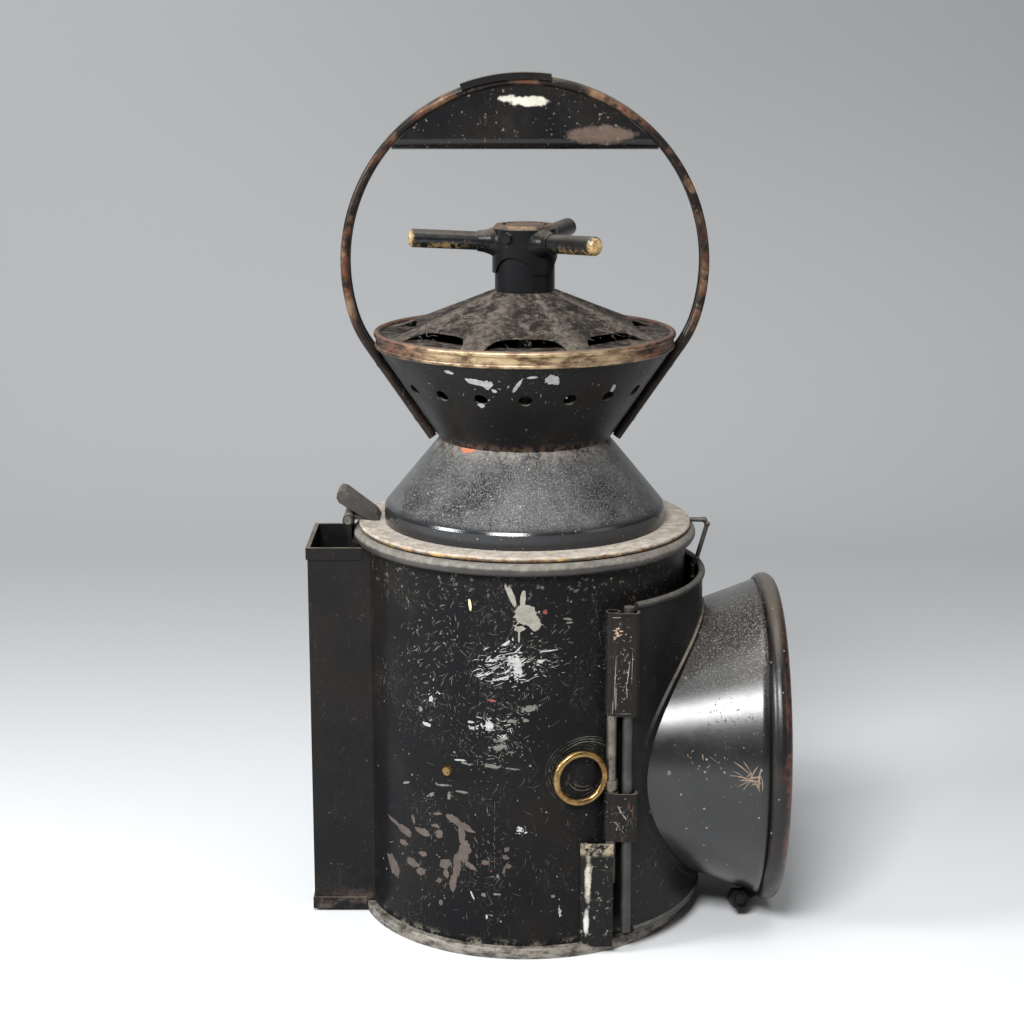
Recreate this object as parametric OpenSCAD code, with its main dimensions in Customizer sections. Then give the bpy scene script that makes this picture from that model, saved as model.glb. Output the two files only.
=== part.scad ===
// Three-aspect railway hand lamp: hinged chimney top, lens door, turning colour drum and wick burner.
// Millimetres. +Z is up, the body's axis is Z, the lens looks along +X and the bracket socket is at -X.
// The origin is on that axis, in the plane that the base stands on.

/* [Body] */
// Outer radius of the sheet-metal body
body_r = 62; // [61.5:0.1:62.5]
// Thickness of the body's sheet
wall = 0.8; // [0.6:0.1:1]
// Height of the body's shell, up to the middle of its top bead
shell_h = 149; // [146:1:152]
// Outer radius of the seam round the base
base_r = 65; // [64.5:0.5:67]
// Height of the seam round the base
base_h = 4.2; // [4:0.1:6]

/* [Top] */
// Outer radius of the lid's flange
flange_r = 64; // [63:0.1:64.5]
// Radius of the lower cone at its foot
cone_r = 54; // [50:1:56]
// Radius of the waist between the cones
waist_r = 32.5; // [31.5:0.5:33]
// Radius of the chimney bowl's rim
bowl_r = 56; // [52:1:57]
// Number of round vents in the bowl
bowl_vents = 18; // [12:1:20]
// Number of panels in the crown
crown_sides = 8; // [8]

/* [Handle] */
// Radius of the hoop's middle line
hoop_r = 67.5; // [67:0.1:68]
// Width of the hoop's strap
hoop_w = 6.8; // [6:0.2:8]
// Height of the grip's underside
grip_z = 295.5; // [292:0.5:297]

/* [Lens] */
// Height of the lens's centre
lens_z = 66.3; // [66:0.1:68]
// Outer radius of the bezel
bezel_r = 64.3; // [63.8:0.1:65]
// Distance of the bezel from the body's axis
bezel_x = 94.5; // [94:0.5:96]

/* [Socket] */
// Width of the bracket socket, across the lamp
socket_w = 40; // [38:1:42]
// Distance of the socket's outer face from the body's axis
socket_x = 82.5; // [80:1:86]

/* [Knob] */
// Reach of the knob's arms from the axis
arm_reach = 44; // [38:1:48]
// Turn of the knob at rest, in degrees
arm_turn = 6; // [0:1:30]

/* [Hidden] */
$fn = 96;
far = 200;

// Levels up the body's axis
floor_t = 1.6;
bead_r = 2.4;
bead_mid_r = body_r + 1.6;
bead_z = shell_h + 1.3;
flange_z = bead_z + bead_r + 0.3;
flange_t = 1.9;
cone_foot_z = flange_z + flange_t;
cone_shoulder_z = 161.5;
waist_z = 187;
bowl_top_z = 222;
rim_top_z = 228;
crown_top_z = 243;
neck_top_z = 257;
knob_top_z = 267.9;
arm_z = 261.3;
hoop_z = 253.3;
sheet = 0.9;

// Axis of the lid's hinge, along Y
lid_x = -67.6;
lid_z = 155.6;
lid_pin_r = 1.1;
ear_r = 2.2;

// Window in the shell and the door over it
window_half = 47;
window_z0 = 14;
window_z1 = 127;
door_ri = 68.4;
door_ro = 69.2;
door_half = 54;
door_z0 = 9.6;
door_z1 = 133.7;
door_roll = 1.3;
near_roll = 2;
roll_r = 68.5;
door_axis_r = 69.2;
door_axis_a = 58.5;
door_pin_r = 1.3;
knuckle_r = 2.4;
run_gap = 0.08;
body_knuckles = [[20, 36], [62, 78], [104, 120]];
door_knuckles = [[36.4, 61.6], [78.4, 103.6]];

// Latch pin on the door's near edge
pin_x = 31.9;
pin_y = -56.85;
pin_r = 1.9;
guide_z = [[94, 133.2], [45.2, 63.8]];
strip_z1 = 44;

// Hood: a sheet that runs from a saddle on the door's panel to a circle inside the bezel
hood_r0 = 53;
hood_r1 = 62;
hood_t = 0.8;
hood_x1 = 91.2;
bezel_bead = 4.1;
bezel_mid = bezel_r - bezel_bead;
lens_r = 56;
lens_x0 = 82;
lens_edge = 4;
lens_bulge = 12;

// Colour drum
drum_r = 57;
drum_wall = 0.8;
drum_z0 = 10;
drum_z1 = 128;
drum_window = 44;
glass_half = 46;
glass_t = 1.7;

// Burner
tank_r = 32;
tank_top = 41;
burner_z = 46;
wick_w = 14.2;
wick_t = 1.8;
shaft_y = 4.4;
cap_x = -2;
cap_y = 22;

// ---------- shapes that repeat ----------

// A tube standing on Z
module tube(ro, ri, z0, z1) {
    translate([0, 0, z0])
        difference() {
            cylinder(r = ro, h = z1 - z0);
            translate([0, 0, -1])
                cylinder(r = ri, h = z1 - z0 + 2);
        }
}

// Part of a tube between two angles
module sector(ro, ri, a0, a1, z0, z1) {
    rotate([0, 0, a0])
        rotate_extrude(angle = a1 - a0)
            translate([ri, z0])
                square([ro - ri, z1 - z0]);
}

// A conical shell with straight sides
module cone_shell(r0, r1, z0, z1, t) {
    rotate_extrude()
        polygon([[r0 - t, z0], [r0, z0], [r1, z1], [r1 - t, z1]]);
}

// A round bar between two points of the XZ plane, moved along Y
module bar_xz(p, q, r, y = 0) {
    d = [q[0] - p[0], q[1] - p[1]];
    translate([p[0], y, p[1]])
        rotate([0, atan2(d[0], d[1]), 0])
            cylinder(r = r, h = norm(d), $fn = 32);
}

// Turns a shape made about Z so that it stands about the lens's axis
module on_lens_axis() {
    translate([0, 0, lens_z])
        rotate([0, 90, 0])
            children();
}

// A tube about the lens's axis between two distances from the body's axis
module lens_tube(ro, ri, x0, x1) {
    on_lens_axis()
        tube(ro, ri, x0, x1);
}

// Point of the hood's edge on the door, and of its edge at the bezel, at an angle about the lens's axis
function saddle_point(r, a) = [sqrt(door_ro * door_ro - pow(r * cos(a), 2)), r * cos(a), lens_z + r * sin(a)];
function mouth_point(r, a) = [hood_x1, r * cos(a), lens_z + r * sin(a)];

// Places a shape on a point given by radius and angle
module at_polar(r, a) {
    rotate([0, 0, a])
        translate([r, 0, 0])
            children();
}

// ---------- case ----------

module base_pan() {
    color("dimgray")
        cylinder(r = body_r - wall, h = floor_t);
}

module base_rim() {
    color("darkkhaki")
        rotate_extrude()
            intersection() {
                translate([body_r, 0])
                    square([base_r - body_r, base_h]);
                translate([body_r - 2, base_h / 2])
                    circle(r = base_r - body_r + 2, $fn = 64);
            }
}

module body_shell() {
    color("#202225")
        difference() {
            tube(body_r, body_r - wall, 0, shell_h);
            sector(body_r + 2, body_r - 3, -window_half, window_half, window_z0, window_z1);
        }
}

module shell_top_bead() {
    color("#5a544b")
        rotate_extrude()
            difference() {
                translate([bead_mid_r, bead_z])
                    circle(r = bead_r, $fn = 48);
                translate([body_r - wall, bead_z - 10])
                    square([wall, shell_h - bead_z + 10]);
            }
}

module body_rivets() {
    rivet_a = 117.5;
    color("khaki")
        for (a = [-rivet_a, rivet_a])
            at_polar(body_r + 0.02, a)
                translate([0, 0, 71.4])
                    rotate([0, 90, 0])
                        cylinder(r1 = 2.1, r2 = 1.6, h = 1.3, $fn = 32);
}

socket_half = socket_w / 2;
socket_z0 = 1.2;
socket_z1 = 147.6;
socket_t = 1;

// Outline of the socket's sleeve, open towards the body
module socket_outline(grow) {
    translate([-socket_x - grow, -socket_half - grow])
        square([socket_x + grow - body_r + 10, socket_w + 2 * grow]);
}

module socket_sleeve(grow, t, z0, z1) {
    difference() {
        translate([0, 0, z0])
            linear_extrude(z1 - z0)
                difference() {
                    socket_outline(grow);
                    translate([-socket_x - grow + t, -socket_half - grow + t])
                        square([far, socket_w + 2 * grow - 2 * t]);
                }
        translate([0, 0, z0 - 1])
            cylinder(r = body_r, h = z1 - z0 + 2);
    }
}

module bracket_socket() {
    color("#1d1f22")
        difference() {
            socket_sleeve(0, socket_t, socket_z0, socket_z1);
            translate([0, 0, -1])
                cylinder(r = base_r + 0.05, h = base_h + 1.1);
        }
}

module socket_band(z0, z1) {
    difference() {
        socket_sleeve(0.6, 0.6, z0, z1);
        cylinder(r = base_r + 0.2, h = far);
    }
}

module socket_bands() {
    color("#26282b") {
        socket_band(socket_z1 - 4.5, socket_z1);
        socket_band(socket_z0, socket_z0 + 4.6);
    }
}

ear_half = 9;
ear_gap = 4.8;

module lid_hinge_bracket() {
    color("#2c2a28")
        difference() {
            translate([0, ear_half, 0])
                rotate([90, 0, 0])
                    linear_extrude(2 * ear_half)
                        union() {
                            polygon([
                                [-61, 136], [-61, 145.5], [-66.4, 147.4], [-66.4, lid_z],
                                [lid_x - 1.9, lid_z], [-68, 151], [-68, 143], [-64, 140], [-64, 136]
                            ]);
                            translate([lid_x, lid_z])
                                circle(r = ear_r, $fn = 48);
                        }
            translate([0, 0, 120])
                cylinder(r = body_r, h = 60);
            rotate_extrude()
                translate([bead_mid_r, bead_z])
                    circle(r = bead_r + 0.05, $fn = 48);
            translate([0, 0, flange_z - 0.4])
                cylinder(r = flange_r + 0.4, h = 10);
            translate([lid_x - 10, -ear_gap, flange_z - 0.3])
                cube([20, 2 * ear_gap, 20]);
            translate([lid_x, 20, lid_z])
                rotate([90, 0, 0])
                    cylinder(r = lid_pin_r, h = 40, $fn = 32);
        }
}

module lid_hinge_pin() {
    color("dimgray")
        translate([lid_x, 0, lid_z])
            rotate([90, 0, 0]) {
                cylinder(r = lid_pin_r, h = 2 * ear_half + 1, center = true, $fn = 32);
                translate([0, 0, ear_half])
                    cylinder(r1 = 1.9, r2 = 1.3, h = 1, $fn = 32);
                translate([0, 0, -ear_half - 1])
                    cylinder(r1 = 1.3, r2 = 1.9, h = 1, $fn = 32);
            }
}

module door_hinge_leaf() {
    color("#26282b")
        for (k = body_knuckles)
            difference() {
                union() {
                    at_polar(body_r + 0.02, door_axis_a + 7)
                        translate([0, -6, k[0]])
                            cube([1, 12, k[1] - k[0]]);
                    at_polar(body_r + 0.35, door_axis_a)
                        translate([0, 0.7, k[0]])
                            cube([5.6, 1.4, k[1] - k[0]]);
                    at_polar(door_axis_r, door_axis_a)
                        translate([0, 0, k[0]])
                            cylinder(r = knuckle_r, h = k[1] - k[0], $fn = 48);
                }
                at_polar(door_axis_r, door_axis_a)
                    cylinder(r = door_pin_r, h = far, $fn = 48);
            }
}

module door_hinge_pin() {
    z0 = body_knuckles[0][0];
    z1 = body_knuckles[2][1];
    color("dimgray")
        at_polar(door_axis_r, door_axis_a)
            translate([0, 0, z0 - 1]) {
                cylinder(r = door_pin_r, h = z1 - z0 + 1, $fn = 48);
                translate([0, 0, z1 - z0 + 1])
                    cylinder(r1 = 2.1, r2 = 1.4, h = 1.4, $fn = 48);
            }
}

// Hooked strip on the body that takes the foot of the latch pin, open towards the door
module latch_strip() {
    color("#2f2f30")
        difference() {
            translate([0, 0, 3.2])
                linear_extrude(strip_z1 - 3.2)
                    polygon([
                        [20.2, -56], [20.7, -59], [22.3, -60.2], [32.9, -60.2],
                        [32.9, -59.2], [23.1, -59.2], [22.1, -56]
                    ]);
            translate([0, 0, -1])
                cylinder(r = body_r, h = 60);
            translate([0, 0, -1])
                cylinder(r = base_r + 0.05, h = base_h + 1.1);
        }
}

module drum_track() {
    color("gray")
        tube(drum_r, 51, floor_t, drum_z0 - 0.4);
}

// ---------- burner ----------

module burner_tray() {
    color("silver")
        difference() {
            tube(tank_r + 1.4, tank_r + 0.3, floor_t, 14);
            for (a = [60, 180, 300])
                rotate([0, 0, a])
                    translate([20, -4, 5])
                        cube([30, 8, 20]);
        }
}

module tank_profile(inset) {
    polygon([
        [0, 2 + inset], [tank_r - inset, 2 + inset], [tank_r - inset, 33 - inset / 2],
        [28 - inset / 2, 37 - inset], [12.5, tank_top - inset], [0, tank_top - inset]
    ]);
}

module oil_reservoir() {
    color("peru")
        difference() {
            union() {
                rotate_extrude()
                    tank_profile(0);
                translate([cap_x, cap_y, 34])
                    cylinder(r = 6, h = 8.5, $fn = 48);
            }
            rotate_extrude()
                tank_profile(0.8);
            translate([0, 0, 30])
                cylinder(r = 10.6, h = 20);
            translate([cap_x, cap_y, 30])
                cylinder(r = 4.8, h = 20, $fn = 48);
        }
}

module wick_slot(extra, z0, z1) {
    translate([-wick_w / 2 - extra, -wick_t / 2 - extra, z0])
        cube([wick_w + 2 * extra, wick_t + 2 * extra, z1 - z0]);
}

tube_gap = 0.35;
tube_wall = 0.8;

module burner_collar() {
    color("goldenrod")
        difference() {
            union() {
                tube(12.5, 11.3, tank_top, 50);
                translate([0, 0, tank_top])
                    cylinder(r = 12.5, h = 1.2);
                tube(10.5, 9.6, 36, tank_top + 0.5);
                tube(14.5, 12.4, 43.5, 46);
            }
            wick_slot(tube_gap + tube_wall, 30, 60);
            translate([0, shaft_y, burner_z])
                rotate([0, 90, 0])
                    cylinder(r = 1.6, h = 40, $fn = 32);
            translate([0, shaft_y, burner_z])
                rotate([0, 90, 0])
                    translate([0, 0, 8])
                        cylinder(r = 2.2, h = 20, $fn = 32);
        }
}

module wick_tube() {
    color("goldenrod")
        difference() {
            wick_slot(tube_gap + tube_wall, 26, 62);
            wick_slot(tube_gap, 25, 63);
            for (x = [-4, 4])
                translate([x - 1.4, 0, burner_z - 3])
                    cube([2.8, 4, 6]);
        }
}

module burner_cone() {
    color("goldenrod")
        difference() {
            rotate_extrude()
                polygon([
                    [13.4, 50], [14.4, 50], [14.4, 52.5], [11.5, 58], [0, 66.5], [0, 65.3],
                    [10.7, 57.4], [13.4, 52.2]
                ]);
            wick_slot(1.6, 58, 70);
            for (a = [0 : 30 : 330])
                rotate([0, 0, a])
                    translate([10, 0, 51.6])
                        rotate([0, 90, 0])
                            cylinder(r = 0.9, h = 6, $fn = 24);
        }
}

module wick() {
    color("ivory")
        wick_slot(0, 24, 71);
}

module wick_shaft() {
    color("goldenrod")
        translate([0, shaft_y, burner_z])
            rotate([0, 90, 0]) {
                translate([0, 0, -8])
                    cylinder(r = 1.2, h = 42, $fn = 32);
                for (x = [-4, 4])
                    translate([0, 0, x - 0.8])
                        for (a = [0, 45])
                            rotate([0, 0, a])
                                translate([-2, -2, 0])
                                    cube([4, 4, 1.6]);
            }
}

module wick_knob() {
    color("goldenrod")
        translate([34, shaft_y, burner_z])
            rotate([0, 90, 0])
                difference() {
                    cylinder(r = 7.5, h = 3);
                    for (a = [0 : 20 : 340])
                        rotate([0, 0, a])
                            translate([7.9, 0, -1])
                                cylinder(r = 0.8, h = 5, $fn = 16);
                }
}

module filler_cap() {
    color("goldenrod")
        translate([cap_x, cap_y, 36])
            difference() {
                union() {
                    translate([0, 0, 6.8])
                        cylinder(r = 7.4, h = 4);
                    cylinder(r = 4.5, h = 7);
                }
                for (a = [0 : 24 : 336])
                    rotate([0, 0, a])
                        translate([7.8, 0, 6])
                            cylinder(r = 0.8, h = 6, $fn = 16);
            }
}

reflector_r = 28;
reflector_x = -40;
reflector_depth = 10;
reflector_ball = (reflector_r * reflector_r + reflector_depth * reflector_depth) / (2 * reflector_depth);

module reflector() {
    color("lightsteelblue")
        translate([reflector_x, 0, 72])
            rotate([0, 90, 0])
                rotate_extrude()
                    intersection() {
                        translate([0, reflector_ball])
                            difference() {
                                circle(r = reflector_ball, $fn = 128);
                                circle(r = reflector_ball - 0.9, $fn = 128);
                            }
                        square([reflector_r, reflector_depth]);
                    }
}

module reflector_bracket() {
    color("gray")
        difference() {
            union() {
                translate([reflector_x - 2.2, -5, floor_t])
                    cube([1.2, 10, 82]);
                translate([reflector_x - 2.2, -5, floor_t])
                    cube([6, 10, 1.2]);
                translate([reflector_x - 1.2, -4, 68])
                    cube([1.2, 8, 8]);
            }
            translate([reflector_x + reflector_ball, 0, 72])
                sphere(r = reflector_ball + 0.01, $fn = 128);
        }
}

// ---------- colour drum ----------

module drum_frame() {
    color("#33302c")
        difference() {
            tube(drum_r, drum_r - drum_wall, drum_z0, drum_z1);
            for (a = [0, 120, 240])
                sector(drum_r + 2, drum_r - 4, a - drum_window, a + drum_window, 20, 118);
        }
}

module drum_hoop(z0, z1) {
    tube(drum_r - drum_wall, drum_r - drum_wall - 1.8, z0, z1);
}

module drum_bottom_ring() {
    color("#4a4038")
        drum_hoop(drum_z0, drum_z0 + 6);
}

module drum_top_ring() {
    color("#4a4038")
        drum_hoop(drum_z1 - 6, drum_z1);
}

// Bar across the drum with the lugs that the spindle's blade drives
module drum_bridge() {
    inner = drum_r - drum_wall - 1.8;
    color("#4a4038") {
        intersection() {
            translate([-6, -inner - 1, drum_z1 - 2])
                cube([12, 2 * inner + 2, 2]);
            cylinder(r = inner, h = far);
        }
        translate([0, 0, drum_z1])
            cylinder(r = 17, h = 1.6);
        for (x = [-1, 1], y = [-1, 1])
            translate([x * 11.5 - 3.5, y * 4.2 - 1.1, drum_z1 + 1.5])
                cube([7, 2.2, 4.5]);
    }
}

module drum_glass(a) {
    ro = drum_r - drum_wall;
    sector(ro, ro - glass_t, a - glass_half, a + glass_half, drum_z0 + 6.2, drum_z1 - 6.2);
}

module red_glass() {
    color("red", 0.6)
        drum_glass(120);
}

module green_glass() {
    color("green", 0.6)
        drum_glass(240);
}

module glass_clips() {
    ro = drum_r - drum_wall - glass_t;
    color("gray")
        for (a = [120, 240], s = [-1, 1], z = [34, 96]) {
            edge = a + s * (glass_half + 1);
            sector(ro, ro - 0.7, edge - 2.6, edge + 2.6, z, z + 9);
            sector(drum_r - drum_wall, ro - 0.1, edge + s * 1 - 1, edge + s * 1 + 1, z, z + 9);
        }
}

// ---------- lid ----------

module lid_flange() {
    color("#8a7f74")
        rotate_extrude()
            union() {
                translate([cone_r - 6, flange_z])
                    square([flange_r - 0.95 - cone_r + 6, flange_t]);
                translate([flange_r - 0.95, flange_z + flange_t / 2])
                    circle(r = flange_t / 2, $fn = 32);
            }
}

module lid_collar() {
    color("#3a3733")
        tube(body_r - wall - 1, body_r - wall - 1.8, 145, flange_z);
}

module lower_cone() {
    color("#3c3e42")
        rotate_extrude()
            polygon([
                [cone_r - sheet, cone_foot_z], [cone_r, cone_foot_z], [cone_r, cone_shoulder_z - 1],
                [cone_r - 0.5, cone_shoulder_z], [waist_r, waist_z], [waist_r - sheet * 1.2, waist_z],
                [cone_r - sheet - 0.9, cone_shoulder_z - 0.6]
            ]);
}

module chimney_bowl() {
    slope = atan2(bowl_r - waist_r, bowl_top_z - waist_z);
    vent_z = 208.8;
    vent_r = waist_r + (vent_z - waist_z) * (bowl_r - waist_r) / (bowl_top_z - waist_z);
    color("#222428")
        difference() {
            cone_shell(waist_r, bowl_r, waist_z, bowl_top_z, sheet * 1.2);
            for (i = [0 : bowl_vents - 1])
                at_polar(vent_r, -90 + i * 360 / bowl_vents)
                    translate([0, 0, vent_z])
                        rotate([0, 90 + slope, 0])
                            cylinder(r = 2.5, h = 8, center = true, $fn = 32);
        }
}

module bowl_rim() {
    color("#a08a5c")
        rotate_extrude()
            union() {
                translate([bowl_r - 1.1, bowl_top_z])
                    square([1.6, rim_top_z - bowl_top_z - 1]);
                translate([bowl_r + 0.1, rim_top_z - 1])
                    circle(r = 1.2, $fn = 32);
                translate([bowl_r + 0.2, bowl_top_z + 0.8])
                    circle(r = 0.8, $fn = 32);
            }
}

// Panelled crown: a ledge, then flat panels that meet at ridges, with a vent under each panel
module crown_cap() {
    corner_r = 53.2;
    crown_z = 227;
    neck_r = 12.4;
    color("#6b6258")
        difference() {
            union() {
                tube(bowl_r - 1.1, 40, rim_top_z - 2.2, rim_top_z - 1);
                rotate([0, 0, -90 + 180 / crown_sides])
                    difference() {
                        translate([0, 0, rim_top_z - 1.2])
                            cylinder(r1 = corner_r, r2 = neck_r, h = crown_top_z - rim_top_z + 1.2, $fn = 8);
                        translate([0, 0, rim_top_z - 2.6])
                            cylinder(r1 = corner_r, r2 = neck_r, h = crown_top_z - rim_top_z + 1.2, $fn = 8);
                    }
            }
            for (i = [0 : crown_sides - 1])
                rotate([0, 0, -90 + i * 360 / crown_sides])
                    translate([36, 0, crown_z])
                        rotate([90, 0, 90])
                            linear_extrude(18)
                                vent_outline();
            translate([0, 0, 220])
                cylinder(r = 9.8, h = 40);
            tube(far, bowl_r - 1.1, 200, 260);
        }
}

// Outline of a crown vent: a low slot whose upper corners fall away in an arch
module vent_outline() {
    polygon([[-15.4, 0], [-13.2, 1.6], [-10.4, 2.8], [-6, 3.3], [6, 3.3], [10.4, 2.8], [13.2, 1.6], [15.4, 0]]);
}

module neck_tube() {
    color("#1f2023")
        difference() {
            union() {
                translate([0, 0, crown_top_z])
                    cylinder(r = 11.3, h = neck_top_z - crown_top_z);
                translate([0, 0, crown_top_z - 5])
                    cylinder(r = 9.8, h = 6);
            }
            translate([0, 0, crown_top_z + 2])
                cylinder(r = 9.8, h = 30);
            translate([0, 0, 200])
                cylinder(r = 2.5 + run_gap, h = 80, $fn = 48);
        }
}

// Strap across the waist that keeps the spindle upright
module spindle_guide() {
    color("gray")
        difference() {
            intersection() {
                translate([-60, -5, waist_z - 3])
                    cube([120, 10, 1.4]);
                translate([0, 0, waist_z - 4])
                    cylinder(r = waist_r - sheet * 1.2, h = 10);
            }
            cylinder(r = 2.5 + run_gap, h = far * 2, $fn = 48);
        }
}

strap_bead = 1.7;
joint_gap = 0.02;
hoop_end = 17.1;
leg_tilt = 34.4;
bend_r = 38.3;
bend_x = (hoop_r - bend_r) * cos(hoop_end);
bend_z = hoop_z - (hoop_r - bend_r) * sin(hoop_end);

// Section of the hoop's strap: a flat web with a bead along each edge
module strap_section() {
    square([1.4, hoop_w], center = true);
    for (s = [-1, 1])
        translate([0, s * hoop_w / 2])
            circle(r = strap_bead, $fn = 32);
}

module handle_leg() {
    top = [bend_x + bend_r * cos(leg_tilt), bend_z - bend_r * sin(leg_tilt)];
    foot_z = waist_z + 0.4;
    len = (top[1] - foot_z) / cos(leg_tilt) - joint_gap;
    translate([top[0] - (len + joint_gap) * sin(leg_tilt), 0, foot_z])
        rotate([0, leg_tilt, 0])
            difference() {
                linear_extrude(len)
                    strap_section();
                for (z = [9, 34])
                    translate([-3, 0, z])
                        rotate([0, 90, 0])
                            cylinder(r = 1.2, h = 6, $fn = 32);
            }
    translate([bend_x, 0, bend_z])
        rotate([90, 0, 0])
            rotate([0, 0, -leg_tilt])
                rotate_extrude(angle = leg_tilt - hoop_end, $fn = 144)
                    translate([bend_r, 0])
                        strap_section();
}

module handle_hoop() {
    color("#3b322e") {
        translate([0, 0, hoop_z])
            rotate([90, 0, 0])
                rotate([0, 0, -hoop_end + 0.02])
                    rotate_extrude(angle = 180 + 2 * hoop_end - 0.04, $fn = 144)
                        translate([hoop_r, 0])
                            strap_section();
        for (a = [0, 180])
            rotate([0, 0, a])
                handle_leg();
    }
}

// Rivets through each leg into the bowl
module leg_rivets() {
    foot_z = waist_z + 0.4;
    foot_x = bend_x + bend_r * cos(leg_tilt) - (bend_z - bend_r * sin(leg_tilt) - foot_z) * tan(leg_tilt);
    translate([foot_x, 0, foot_z])
        rotate([0, leg_tilt, 0])
            for (z = [9, 34])
                translate([-1.6, 0, z])
                    rotate([0, 90, 0]) {
                        cylinder(r = 1.2, h = 3.2, $fn = 32);
                        translate([0, 0, 2.9])
                            cylinder(r1 = 2, r2 = 1.2, h = 0.9, $fn = 32);
                    }
}

module handle_rivets() {
    color("#4b4038")
        for (a = [0, 180])
            rotate([0, 0, a])
                leg_rivets();
}

grip_r = hoop_r - strap_bead - 0.05;
grip_half = 4.2;
grip_t = 1;

// Outline of the grip's side plate: the part of a disc above a straight chord
module grip_outline(r) {
    intersection() {
        circle(r = r, $fn = 144);
        translate([-far / 2, grip_z + grip_half - hoop_z])
            square([far, far / 2]);
    }
}

// Trough under the hoop's top: two side plates and a rounded bottom
module hand_grip() {
    chord = sqrt(grip_r * grip_r - pow(grip_z + grip_half - hoop_z, 2));
    color("#1c1d20")
        intersection() {
            translate([0, 0, hoop_z])
                rotate([90, 0, 0])
                    cylinder(r = grip_r, h = 40, center = true, $fn = 144);
            union() {
                for (y = [grip_half, -grip_half + grip_t])
                    translate([0, y, hoop_z])
                        rotate([90, 0, 0])
                            linear_extrude(grip_t)
                                grip_outline(grip_r);
                difference() {
                    translate([-chord - 3, 0, grip_z + grip_half])
                        rotate([0, 90, 0])
                            cylinder(r = grip_half, h = 2 * chord + 6, $fn = 48);
                    translate([-chord - 4, 0, grip_z + grip_half])
                        rotate([0, 90, 0])
                            cylinder(r = grip_half - grip_t, h = 2 * chord + 8, $fn = 48);
                    translate([-far, -far, grip_z + grip_half])
                        cube([2 * far, 2 * far, 20]);
                }
            }
        }
}

module grip_clip() {
    ro = hoop_r + 2.9;
    color("#25262a")
        difference() {
            translate([0, 0, hoop_z])
                rotate([90, 0, 0])
                    rotate([0, 0, 82])
                        rotate_extrude(angle = 28, $fn = 144)
                            translate([hoop_r + 0.5, -6])
                                square([ro - hoop_r - 0.5, 12]);
            translate([0, 0, hoop_z])
                rotate([90, 0, 0])
                    rotate_extrude($fn = 144)
                        translate([hoop_r, 0])
                            strap_section();
        }
}

// Thumb lever, in one piece with the lid's hinge knuckle
module thumb_lever() {
    half = 6;
    knuckle_half = ear_gap - 0.4;
    color("#5c564c")
        difference() {
            union() {
                translate([0, knuckle_half, 0])
                    rotate([90, 0, 0])
                        linear_extrude(2 * knuckle_half)
                            union() {
                                translate([lid_x, lid_z])
                                    circle(r = ear_r, $fn = 48);
                                translate([lid_x, cone_foot_z + 0.05])
                                    square([10, 1.5]);
                            }
                translate([0, half, 0])
                    rotate([90, 0, 0])
                        linear_extrude(2 * half)
                            polygon([
                                [-55.6, cone_foot_z + 0.05], [-59.3, cone_foot_z + 0.05], [-68.2, 159.9], [-71.3, 162],
                                [-72.2, 163.8], [-71.9, 165.7], [-70.5, 166.9], [-68.6, 166.6], [-57, cone_foot_z + 2.8]
                            ]);
            }
            translate([lid_x, 20, lid_z])
                rotate([90, 0, 0])
                    cylinder(r = lid_pin_r + run_gap, h = 40, $fn = 32);
        }
}

module lid_catch_wire() {
    path = [[63, 154], [69.6, 153.9], [70.8, 152.2], [67, 138.6], [65.3, 135.5], [65.3, 131]];
    r = 0.9;
    color("#4a453c")
        difference() {
            union() {
                for (i = [0 : len(path) - 2])
                    bar_xz(path[i], path[i + 1], r);
                for (i = [1 : len(path) - 1])
                    translate([path[i][0], 0, path[i][1]])
                        sphere(r = r + 0.25, $fn = 32);
            }
            cylinder(r = flange_r + 0.03, h = 400);
        }
}

// ---------- knob ----------

skirt_r = 12.3;
skirt_z0 = 250;
arm_r = 3.5;

module arm_places() {
    for (i = [0 : 2])
        rotate([0, 0, 180 + arm_turn + i * 120])
            children();
}

// Places a shape made along Z so that it points out along an arm, a little above level
module arm_axis() {
    arm_places()
        translate([8, 0, arm_z])
            rotate([0, 87, 0])
                children();
}

// Hub with a scalloped skirt that drops under each arm, and a set screw in its side
module turn_knob() {
    color("#242427")
        difference() {
            union() {
                translate([0, 0, skirt_z0])
                    cylinder(r = skirt_r, h = knob_top_z - skirt_z0 - 1.4);
                translate([0, 0, knob_top_z - 1.4])
                    cylinder(r1 = skirt_r, r2 = skirt_r - 1.4, h = 1.4);
                arm_axis()
                    translate([0, 0, 2.6])
                        rotate_extrude($fn = 48)
                            polygon([[0, 0], [6.4, 0], [5.6, 1.2], [4.8, 2.8], [4.2, 4.8], [3.9, 7.2], [0, 7.2]]);
                rotate([0, 0, -122])
                    translate([skirt_r - 1, 0, 263.6])
                        rotate([0, 90, 0])
                            cylinder(r = 2.2, h = 2.2, $fn = 6);
            }
            translate([0, 0, skirt_z0 - 1])
                cylinder(r = 11.3 + 0.35, h = neck_top_z + 0.4 - skirt_z0 + 1);
            arm_places()
                rotate([0, 0, 60])
                    translate([0, 0, 248.4])
                        rotate([0, 90, 0])
                            cylinder(r = 8, h = 30, $fn = 64);
            arm_axis()
                cylinder(r = arm_r, h = 30, $fn = 48);
            translate([0, 0, 240])
                cylinder(r = 2.5, h = 26, $fn = 48);
            translate([0, 0, knob_top_z - 0.8])
                tube(8.6, 7.4, 0, 2);
        }
}

module knob_arms() {
    color("darkgoldenrod")
        arm_axis() {
            cylinder(r = arm_r, h = arm_reach - 9.6, $fn = 48);
            translate([0, 0, arm_reach - 9.6])
                cylinder(r1 = arm_r, r2 = arm_r - 1.2, h = 1.4, $fn = 48);
        }
}

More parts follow.
